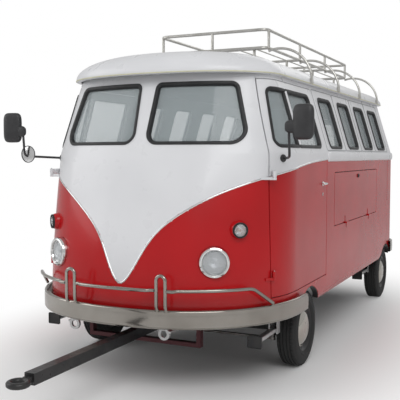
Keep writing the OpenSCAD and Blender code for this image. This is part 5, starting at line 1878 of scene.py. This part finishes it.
@dataclass
class Mirrors:
    """Door mirrors on bent arms, the right one with a small round mirror too."""

    x: float = 1.2
    y: float = SHAPE.tip + 0.35
    z: float = 1.87
    size: tuple[float, float, float] = (0.15, 0.07, 0.235)
    yaw: float = -12.0
    foot: tuple[float, float] = (SHAPE.tip + 0.66, 1.63)
    round_z: float = 1.66

    def head(self) -> tuple[Shell, Shell]:
        """The moulded housing and its glass.

        The housing is a rounded box: across and up go with s(f)^0.62 c(t)^0.42 and
        s(f)^0.62 s(t)^0.42, along with c(f)^0.8, cut flat behind for the glass.

        Returns:
            The housing and the glass, facing +Y.
        """
        def power(v: Array, e: float) -> Array:
            """Returns the signed power."""
            return np.sign(v) * np.abs(v) ** e
        a, b, c = (v / 2 for v in self.size)
        f, t = np.meshgrid(np.linspace(0.0, math.pi, 33), 2 * np.pi * np.arange(56) / 56, indexing="ij")
        ring = power(np.sin(f), 0.62)
        x, z = a * ring * power(np.cos(t), 0.42), c * ring * power(np.sin(t), 0.42)
        y = np.minimum(-b * power(np.cos(f), 0.8), b * 0.55)
        body = grid(np.stack([x, y, z], axis=-1), wrap_v=True)
        pane = grid(np.stack([0.9 * x, b * 0.55 + 0.0012 * np.cos(f), 0.92 * z], axis=-1)[:, ::-1],
                    wrap_v=True)
        return weld(body, 1e-5), weld(pane, 1e-5)

    def arm(self) -> tuple[Array, Array, Array]:
        """Finds the arm's path.

        Returns:
            The path, its foot and the skin's normal there.
        """
        y, z = (np.array(v) for v in self.foot)
        s = SHAPE.side_at(y, z)
        foot, out = SHAPE.skin(s, z), SHAPE.outward(s, z)
        x = self.x - 0.1
        corners = [foot + out * 0.01, foot + out * 0.055 + (0.0, -0.01, 0.0), (x, self.y + 0.02, 1.645),
                   (x, self.y, self.z - 0.02)]
        return rounded_path(np.array(corners), 0.035), foot, out

    def clamp(self) -> Shell:
        """Builds the moulded block that joins the head's inner side to the stem.

        Returns:
            The block, narrower at the stem.
        """
        t = np.linspace(0.0, 1.0, 8)
        path = np.stack([self.x - 0.125 + 0.09 * t, np.full(8, self.y), np.full(8, self.z - 0.03)], axis=1)
        shell = sweep(path, UP, circle(1.0, 20) * (0.016, 0.042))
        swell = 1.0 - 0.35 * np.clip(1 - (shell.points[:, :1] - path[0, 0]) / 0.03, 0, 1) ** 2
        shell.points[:, 1:] = path[0, 1:] + (shell.points[:, 1:] - path[0, 1:]) * swell
        return shell

    def build(self) -> None:
        """Makes both mirrors."""
        a = math.radians(self.yaw)
        turn = np.array([[math.cos(a), -math.sin(a), 0], [math.sin(a), math.cos(a), 0], [0, 0, 1.0]])
        body, pane = (part.moved(turn, (self.x, self.y, self.z)) for part in self.head())
        path, foot, out = self.arm()
        stem = sweep(path, (0.1, 0.2, 1.0), circle(0.009, 14))
        side = unit(np.cross(UP, out))
        base = lathe([(0.0, 0.0), (0.027, 0.0), (0.028, 0.003), (0.026, 0.009), (0.016, 0.014), (0.0, 0.016)],
                     32)
        base = base.moved(np.stack([side, np.cross(out, side), out], axis=1), foot)
        left = Shell.join([body, stem, base, self.clamp()])
        left.piece("left_mirror_housing", "left_door", [MOULDED], 40.0, ["left_mirror"])
        pane.piece("left_mirror_glass", "left_door", [SILVER])
        at = path[len(path) // 2] * (-1, 1, 0) + (0.0, 0.0, self.round_z)
        small = lathe([(0.0, -0.016), (0.03, -0.014), (0.055, -0.008), (0.067, 0.002), (0.068, 0.008),
                       (0.064, 0.010), (0.062, 0.006)], 48).moved(AHEAD_OUT, at)
        glass = lathe([(0.062, 0.006), (0.05, 0.0085), (0.03, 0.0105), (0.0, 0.0115)], 48)
        glass = glass.moved(AHEAD_OUT, at)
        Shell.join([left.mirrored(), small]).piece("right_mirror_housing", "right_door", [MOULDED], 40.0,
                                                   ["right_mirror"])
        Shell.join([pane.mirrored(), glass]).piece("right_mirror_glass", "right_door", [SILVER])


@dataclass
class Wheels:
    """Tyres with cut treads, steel rims and domed caps."""

    r: float = 0.295
    w: float = 0.165
    rim: float = 0.178
    blocks: int = 60
    middle_x: float = 0.89

    def tyre(self) -> Shell:
        """The tyre: sidewalls, shoulders and a tread with four grooves and cut blocks.

        The section is given by (radius, across) points; the outer ribs' radius drops
        by 5.5 mm over a quarter of each block's angle.

        Returns:
            The tyre, with its axis along +Z and its outer side up.
        """
        h, r, rim = self.w / 2, self.r, self.rim
        side = [(rim + a, h - b) for a, b in (
            (-0.006, 0.040), (0.002, 0.016), (0.012, 0.007), (0.026, 0.004), (0.030, 0.0008), (0.036, 0.0005),
            (0.040, 0.003), (0.062, 0.001), (0.080, 0.006), (0.084, 0.0065), (0.090, 0.010), (0.100, 0.014))]
        side += [(r - 0.007, h - 0.019), (r - 0.003, h - 0.023)]
        grooves = [(r - depth, middle + a) for middle in (0.040, 0.014, -0.014, -0.040)
                   for a, depth in ((0.0045, 0.0), (0.0030, 0.007), (-0.0030, 0.007), (-0.0045, 0.0))]
        tread = [(r - 0.0015, h - 0.026), *grooves, (r - 0.0015, 0.026 - h)]
        profile = np.array(side + tread + [(q, -a) for q, a in side[::-1]])
        cut = np.where(np.arange(self.blocks * 4) % 4 == 0, 0.0055, 0.0)[:, None]
        outer = (np.abs(profile[:, 1]) > 0.043) & (profile[:, 0] > r - 0.012)
        return grid(turned(profile[None, :, 0] - cut * outer, profile[:, 1])[::-1], True, True)

    def wheel(self) -> tuple[Shell, Shell]:
        """The rim and its domed cap.

        Returns:
            The two, with their axis along +Z and their outer sides up.
        """
        r = self.rim
        rim = lathe([(0.05, -0.03), (0.12, -0.028), (0.15, -0.045), (r - 0.014, -0.07), (r + 0.004, -0.068),
                     (r + 0.004, -0.062), (r - 0.012, -0.055), (r - 0.018, -0.02), (r - 0.018, 0.03),
                     (r - 0.008, 0.05), (r + 0.004, 0.058), (r + 0.005, 0.064), (r + 0.001, 0.067),
                     (r - 0.012, 0.060), (r - 0.026, 0.042), (0.145, 0.036), (0.12, 0.032), (0.05, 0.03)], 72)
        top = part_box("front_left_wheel")[1].x - self.middle_x - 0.001
        crown = [(0.12, 0.0215), (0.10, 0.0135), (0.08, 0.0075), (0.055, 0.0035), (0.052, 0.0045),
                 (0.049, 0.003), (0.03, 0.0008), (0.0, 0.0)]
        dome = lathe([(0.150, 0.036), (0.1525, 0.040), (0.1520, 0.0445), (0.148, 0.047), (0.143, 0.0465),
                      (0.138, 0.049), *((q, top - d) for q, d in crown)], 72)
        return rim, dome

    def build(self) -> None:
        """Makes the four wheels where the CAD wheels are."""
        rim, dome = self.wheel()
        parts = ((self.tyre(), TYRE, "tyre_tread", ["tyre"]), (rim, CHASSIS, "rim_steel", []),
                 (dome, CAP_STEEL, "cap_dome", ["wheel"]))
        for end, axle in (("front", SHAPE.axle_front), ("rear", SHAPE.axle_rear)):
            for hand in HANDS:
                wheel = f"{end}_{hand}"
                for part, finish, label, nodes in parts:
                    shell = part.moved(LEFT_OUT, (self.middle_x, axle, SHAPE.hub_z)).on(hand)
                    shell.piece(f"{wheel}_{label}", f"{wheel}_wheel", [finish], 35.0,
                                [f"{wheel}_{node}" for node in nodes])


@dataclass
class Fittings:
    """Hinges, handles and key locks of the cab doors, flaps and rear door."""

    hinge: tuple[float, float] = (0.94816, SHAPE.tip + 0.512)
    heights: tuple[float, float] = (0.80, 1.50)
    rear_hinge: tuple[float, float] = (0.3525, SHAPE.tail + 0.015)
    rear_heights: tuple[float, float] = (0.80, 1.54)
    eye: float = 0.044
    root: float = 0.019
    drop: float = 0.020
    r: float = 0.0125
    pad: float = 0.035

    def knuckle(self, place: tuple[float, float], z: float, h: float) -> Shell:
        """Returns an upright hinge eye with eased edges at (x, y), from z up to z + h."""
        r = self.r
        rows = [(0.0, 0.0), (r - 0.0015, 0.0), (r, 0.0015), (r, h - 0.0015), (r - 0.0015, h), (0.0, h)]
        return lathe(rows, 28).shifted((*place, z))

    def half_hinge(self, behind: float, z: float, h: float) -> Shell:
        """A cab door hinge's eye with the strap that eases from it to its pad on the skin.

        Args:
            behind: how far the pad lies behind the door's front edge.
            z: the lower edge's height.
            h: its height.

        Returns:
            The half hinge.
        """
        mid = z + h / 2
        pad_y = float(SHAPE.seam(np.array(z))) + behind
        s = SHAPE.side_at(np.array([pad_y - 0.014, pad_y + 0.014]), np.array(mid))
        out = SHAPE.outward(s, mid)
        pads = SHAPE.skin(s, mid) + out * 0.0045
        path = rounded_path(np.vstack([(*self.hinge, mid), pads if behind > 0 else pads[::-1]]), 0.012)
        return Shell.join([self.knuckle(self.hinge, z, h), sweep(path, out[0], ribbon(h / 2, -0.003, 0.003))])

    def cab_door(self) -> tuple[Shell, Shell]:
        """The left cab door's hinges; the upper ones have finish 1.

        Returns:
            The halves on the door, and the halves on the nose with their pins.
        """
        pin = lathe([(0.0, 0.0), (0.0055, 0.0), (0.0058, 0.003), (0.004, 0.005), (0.0, 0.0055)],
                    16).painted(2)
        door, nose = [], []
        for number, z in enumerate(self.heights):
            door.append(self.half_hinge(self.pad, z, self.eye).painted(number))
            nose += [self.half_hinge(-self.pad, z - self.drop, self.root).painted(number),
                     pin.shifted((*self.hinge, z + self.eye))]
        return Shell.join(door), Shell.join(nose)

    @staticmethod
    def handle() -> Shell:
        """Builds a boss, a tapered lever on it and a key lock below, facing +Z, lever along +X.

        Returns:
            The handle; the key's slot has finish 1.
        """
        boss = lathe([(0.0, 0.0), (0.0195, 0.0), (0.0200, 0.003), (0.016, 0.007), (0.0115, 0.013),
                      (0.011, 0.025), (0.0, 0.026)], 36)
        t, half = np.linspace(-1.0, 1.0, 22), 0.057
        path = np.stack([-0.002 + half * t, 0 * t, 0.027 - 0.003 * t * t], axis=1)
        lever = sweep(path, UP, circle(1.0, 18) * (0.0088, 0.0056))
        lever.points[:, 1:2] *= np.clip(1.08 - 0.42 * np.abs(lever.points[:, :1] / half) ** 2.2, 0.5, 1.1)
        lock = lathe([(0.0, 0.0), (0.0125, 0.0), (0.0128, 0.003), (0.0105, 0.005), (0.009, 0.0045),
                      (0.0, 0.0045)], 28)
        slot = box_shell((-0.0012, -0.0052, 0.0044), (0.0012, 0.0052, 0.0052))
        return Shell.join([boss, lever, Shell.join([lock, slot.painted(1)]).shifted((0.0, -0.085, 0.0))])

    def build(self) -> None:
        """Makes the fittings on every door and flap."""
        door, nose = self.cab_door()
        handle = self.handle().moved(LEFT_OUT, (SHAPE.half_w + 0.0005, SHAPE.axle_front + 0.32, 1.42))
        for hand in HANDS:
            body = f"{hand}_door"
            door.on(hand).piece(f"{body}_hinges", body, (RED, WHITE), 35.0, [f"{body}_fittings"])
            handle.on(hand).piece(f"{body}_handle", body, (CHROME, SEAL), 35.0)
        nose.both().piece("nose_hinge_roots", "root", (RED, WHITE, SILVER), 35.0, ["hinge_pins"])
        self.flaps()
        self.rear()

    @staticmethod
    def flaps() -> None:
        """Makes the fixed halves of the flap hinges, below the flaps."""
        x, z = Trim.flap_axis()
        side = SHAPE.half_w
        eye = lathe([(0.0, 0.0), (0.0085, 0.0), (0.0095, 0.001), (0.0095, 0.018), (0.0085, 0.019),
                     (0.0, 0.019)], 20)
        parts = []
        for y in FLAP_HINGES:
            parts += [eye.moved(AHEAD_OUT, (x, y + 0.042, z)),
                      box_shell((side - 0.001, y + 0.023, z - 0.05), (side + 0.003, y + 0.042, z + 0.002))]
        Shell.join(parts).both().piece("flap_hinge_roots", "root", [RED], 30.0, bevel=EDGE_BEVEL)

    def rear(self) -> None:
        """Makes the rear door's hinges, handle and lock."""
        x, _ = self.rear_hinge
        near, far = SHAPE.tail + 0.0005, SHAPE.tail + 0.007
        bolt = lathe([(0.0, 0.0), (0.006, 0.0), (0.006, 0.003), (0.004, 0.0045), (0.0, 0.0048)], 12)
        door, fixed = [], []
        for z in self.rear_heights:
            door += [self.knuckle(self.rear_hinge, z, self.eye),
                     box_shell((x - 0.09, near, z + 0.002), (x - 0.004, far, z + self.eye - 0.002))]
            fixed += [self.knuckle(self.rear_hinge, z - self.drop, self.root),
                      box_shell((x + 0.004, near, z - 0.019), (x + 0.07, far, z - 0.002))]
            door += [bolt.moved(BACK_OUT, (x - e, far, z + self.eye / 2)) for e in (0.02, 0.07)]
        Shell.join(door).piece("rear_door_hinges", "rear_door", [SILVER], 35.0, ["rear_door_fittings"],
                               EDGE_BEVEL)
        Shell.join(fixed).piece("rear_hinge_roots", "root", [SILVER], 35.0, bevel=EDGE_BEVEL)
        handle = self.handle().moved(BACK_OUT, (-0.27, near, 1.30))
        handle.piece("rear_door_handle", "rear_door", (CHROME, SEAL), 35.0)


@dataclass
class Underbody:
    """Corner steadies and the black linings of the wheel arches."""

    leg: float = 0.4
    x: float = 0.85
    z: float = 0.36

    def steady(self) -> Shell:
        """Builds a square tube leg with a pivot eye, stiffeners and a foot plate with turned edges, along -Y.

        Returns:
            The steady; foot and stiffeners have finish 1.
        """
        w, h, c = 0.024, 0.0165, 0.005
        square = np.array([[w, c - h], [w, h - c], [w - c, h], [c - w, h], [-w, h - c], [-w, c - h],
                           [c - w, -h], [w - c, -h]])
        leg = sweep(np.array([[0.0, 0.004, 0.0], [0.0, -0.2, 0.0], [0.0, 0.001 - self.leg, 0.0]]), UP, square)
        eye = lathe([(0.0105, -0.0245), (0.019, -0.0245), (0.0205, -0.023), (0.0205, 0.023), (0.019, 0.0245),
                     (0.0105, 0.0245), (0.0105, -0.0245)], 32)
        foot = foot_plate(0.108, 0.088, 0.010).moved(AHEAD_OUT, (0.0, -self.leg - 0.0005, 0.0))
        ribs = [box_shell((x - 0.002, 0.001 - self.leg, -0.03), (x + 0.002, 0.028 - self.leg, 0.03))
                for x in (-0.03, 0.03)]
        eye = eye.moved(LEFT_OUT, (0.0, 0.0, 0.0))
        return Shell.join([leg, eye, *(part.painted(1) for part in (foot, *ribs))])

    @staticmethod
    def arches() -> Shell:
        """Builds the black linings of the arch edges: a thin band round each arch, as wide as the wall.

        Returns:
            The linings on both sides.
        """
        parts, r = [], SHAPE.arch_r - 0.0012
        t = np.linspace(math.radians(36.5), math.radians(143.5), 34)
        for axle in (SHAPE.axle_front, SHAPE.axle_rear):
            y, z = axle + r * np.cos(t), SHAPE.hub_z + r * np.sin(t)
            skin = SHAPE.skin(SHAPE.side_at(np.minimum(y, SHAPE.tail_start), z), z)
            over = np.clip(y - SHAPE.tail_start, 0.0, None)
            x = skin[:, 0] - (SHAPE.tail_r - np.sqrt(SHAPE.tail_r ** 2 - over ** 2)) - 0.0245
            inward = np.stack([0 * y, axle - y, SHAPE.hub_z - z], axis=1)
            parts.append(sweep(np.stack([x, y, z], axis=1), inward, ribbon(0.0225, 0.0, 0.003)))
        return Shell.join(parts).both()

    def build(self) -> None:
        """Makes the steadies and arch linings."""
        one = self.steady()
        for end, y in (("front", SHAPE.axle_front - 0.41), ("rear", SHAPE.axle_rear - 0.35)):
            for hand in HANDS:
                name = f"{end}_{hand}_steady"
                one.shifted((self.x, y, self.z)).on(hand).piece(f"{name}_leg", name, (GALVANISED, CHASSIS),
                                                                30.0, [name], EDGE_BEVEL)
        self.arches().piece("arch_edge_linings", "root", [CHASSIS], 30.0)


@dataclass
class Carried:
    """Better finishes for the CAD pieces that stay as they are, and the floor inside."""

    finishes: dict[str, Finish] = field(default_factory=lambda: {
        "chassis_frame": CHASSIS, "floor_pan": CHASSIS, "tow_eyes": GALVANISED, "front_axle": CHASSIS,
        "rear_axle": CHASSIS, "steady_brackets": GALVANISED, "drawbar_guide": MAROON, "drawbar": CHASSIS,
        "track_rod": BARE, "left_knuckle": BARE, "right_knuckle": BARE})
    inset: float = 0.05
    low: float = 0.6421
    high: float = 0.648

    def floor_board(self) -> Shell:
        """Builds the board that lies on the floor pan, cut to the walls' inside.

        Returns:
            The board.
        """
        w, r = SHAPE.half_w - self.inset, SHAPE.tail_r - self.inset
        q = np.linspace(0.0, math.pi / 2, 12)
        x, y = SHAPE.outline(SHAPE.turn(np.linspace(0.0, 1.0, 40)), w, SHAPE.nose_len - self.inset - 0.02)
        x = np.concatenate([x, w - r + r * np.cos(q), [0.0]])
        y = np.concatenate([y, SHAPE.tail_start + r * np.sin(q), [SHAPE.tail_start + r]])
        u = np.linspace(-1.0, 1.0, 9)[None, :]
        top = np.stack([x[:, None] * u, y[:, None] + 0 * u, np.full((len(x), 9), self.high)], axis=-1)
        edge = np.vstack([np.stack([x, y], axis=1), np.stack([-x, y], axis=1)[-2:0:-1]])
        rim = np.stack([np.column_stack([edge, np.full(len(edge), z)]) for z in (self.low, self.high)],
                       axis=1)
        sheets = [grid(top[:, ::-1]), grid(top * (1, 1, 0) + (0, 0, self.low))]
        return weld(Shell.join([*sheets, grid(rim, True)]), 1e-5)

    def build(self) -> None:
        """Dresses the CAD nodes and lays the board."""
        for name, finish in self.finishes.items():
            mesh = frame["nodes"][name].data
            mesh.materials.clear()
            mesh.materials.append(finish.material())
        self.floor_board().piece("saloon_floor", "root", [BOARD])


# ---------------------------------------------------------------- studio

@dataclass
class Studio:
    """The pale floor, the soft lights and the camera."""

    white: float = 1.0
    world: float = 0.55
    reach: float = 30.0
    fade: tuple[float, float] = (1.15, 2.6)

    @staticmethod
    def seen(tree: Tree) -> Socket:
        """Returns 1 for rays from the camera, straight or through glass, and 0 for others."""
        ray = tree.nodes.new("ShaderNodeLightPath")
        return math_node(tree, "MAXIMUM", ray.outputs["Is Camera Ray"], ray.outputs["Is Transmission Ray"])

    def floor(self) -> None:
        """Lays a wide floor that fades into the white backdrop away from the trailer."""
        u = np.linspace(-self.reach, self.reach, 31)
        x, y = np.meshgrid(u, u, indexing="ij")
        shell = grid(np.stack([x, y, 0 * x], axis=-1))
        mesh = bpy.data.meshes.new("floor")
        mesh.from_pydata(shell.points.tolist(), [], shell.faces.tolist())
        mat = bpy.data.materials.new("pale_floor")
        mat.use_nodes = True
        tree = mat.node_tree
        tree.nodes.clear()
        lit = add_node(tree, "BsdfDiffuse", {"Color": (0.9, 0.9, 0.9, 1.0)})
        glow = add_node(tree, "Emission", {"Strength": self.white})
        spot = tree.nodes.new("ShaderNodeTexCoord").outputs["Object"]
        flat = add_node(tree, "Mapping", {"Vector": spot, "Scale": (1.0, 0.55, 1.0)}).outputs["Vector"]
        away = add_node(tree, "VectorMath", {0: flat}, operation="LENGTH").outputs["Value"]
        fade = add_node(tree, "MapRange", {"From Min": self.fade[0], "From Max": self.fade[1], "Value": away},
                        interpolation_type="SMOOTHSTEP").outputs["Result"]
        share = math_node(tree, "MULTIPLY", fade, self.seen(tree))
        mix = add_node(tree, "MixShader", {"Fac": share, 1: lit.outputs[0], 2: glow.outputs[0]})
        add_node(tree, "OutputMaterial", {"Surface": mix.outputs[0]})
        mesh.materials.append(mat)
        obj = bpy.data.objects.new("floor", mesh)
        bpy.context.scene.collection.objects.link(obj)

    def sky(self) -> None:
        """Makes a soft even world: white to the eye, and dimmer as a light."""
        world = bpy.data.worlds.new("studio")
        bpy.context.scene.world = world
        world.use_nodes = True
        tree = world.node_tree
        back = tree.nodes["Background"]
        back.inputs["Color"].default_value = (1.0, 1.0, 1.0, 1.0)
        level = ramp(tree, self.seen(tree), 0.0, 1.0, self.world, self.white)
        tree.links.new(level, back.inputs["Strength"])

    @staticmethod
    def lamp(name: str, place: Sequence[float], aim: Sequence[float], size: tuple[float, float],
             power: float) -> None:
        """Adds a soft area light.

        Args:
            name: its name.
            place: where it hangs.
            aim: what it faces.
            size: its width and height.
            power: its power in watts.
        """
        data = bpy.data.lights.new(name, "AREA")
        data.shape, data.size, data.size_y, data.energy = "RECTANGLE", size[0], size[1], power
        obj = bpy.data.objects.new(name, data)
        obj.location = place
        obj.rotation_euler = (Vector(aim) - Vector(place)).to_track_quat("-Z", "Y").to_euler()
        bpy.context.scene.collection.objects.link(obj)

    @staticmethod
    def camera() -> None:
        """Sets the camera ahead and to the left of the trailer, a little above its sill."""
        data = bpy.data.cameras.new("camera")
        data.lens, data.sensor_width, data.clip_end = 64.08, 36.0, 200.0
        obj = bpy.data.objects.new("camera", data)
        obj.location = (2.599, -6.005, 1.65)
        obj.rotation_euler = (math.radians(90 - 3.58), 0.0, math.radians(25.5))
        bpy.context.scene.collection.objects.link(obj)
        bpy.context.scene.camera = obj

    def build(self) -> None:
        """Sets up floor, world, lights and camera."""
        bpy.context.scene.view_settings.view_transform = "Standard"
        self.floor()
        self.sky()
        self.lamp("key", (4.5, -7.0, 7.5), (0.0, -0.5, 1.0), (6.0, 4.0), 300.0)
        self.lamp("fill", (-7.0, -4.0, 5.0), (0.0, 0.0, 1.2), (6.0, 5.0), 150.0)
        self.lamp("back", (1.0, 8.5, 6.5), (0.0, 0.5, 1.2), (7.0, 4.0), 80.0)
        self.camera()


def main() -> None:
    """Builds the trailer's looks in order."""
    for part in (Studio, Bodywork, Glazing, Trim, Roof, Lamps, Bumpers, Mirrors, Wheels, Fittings, Underbody,
                 Carried):
        part().build()


if __name__ == "__main__":
    main()
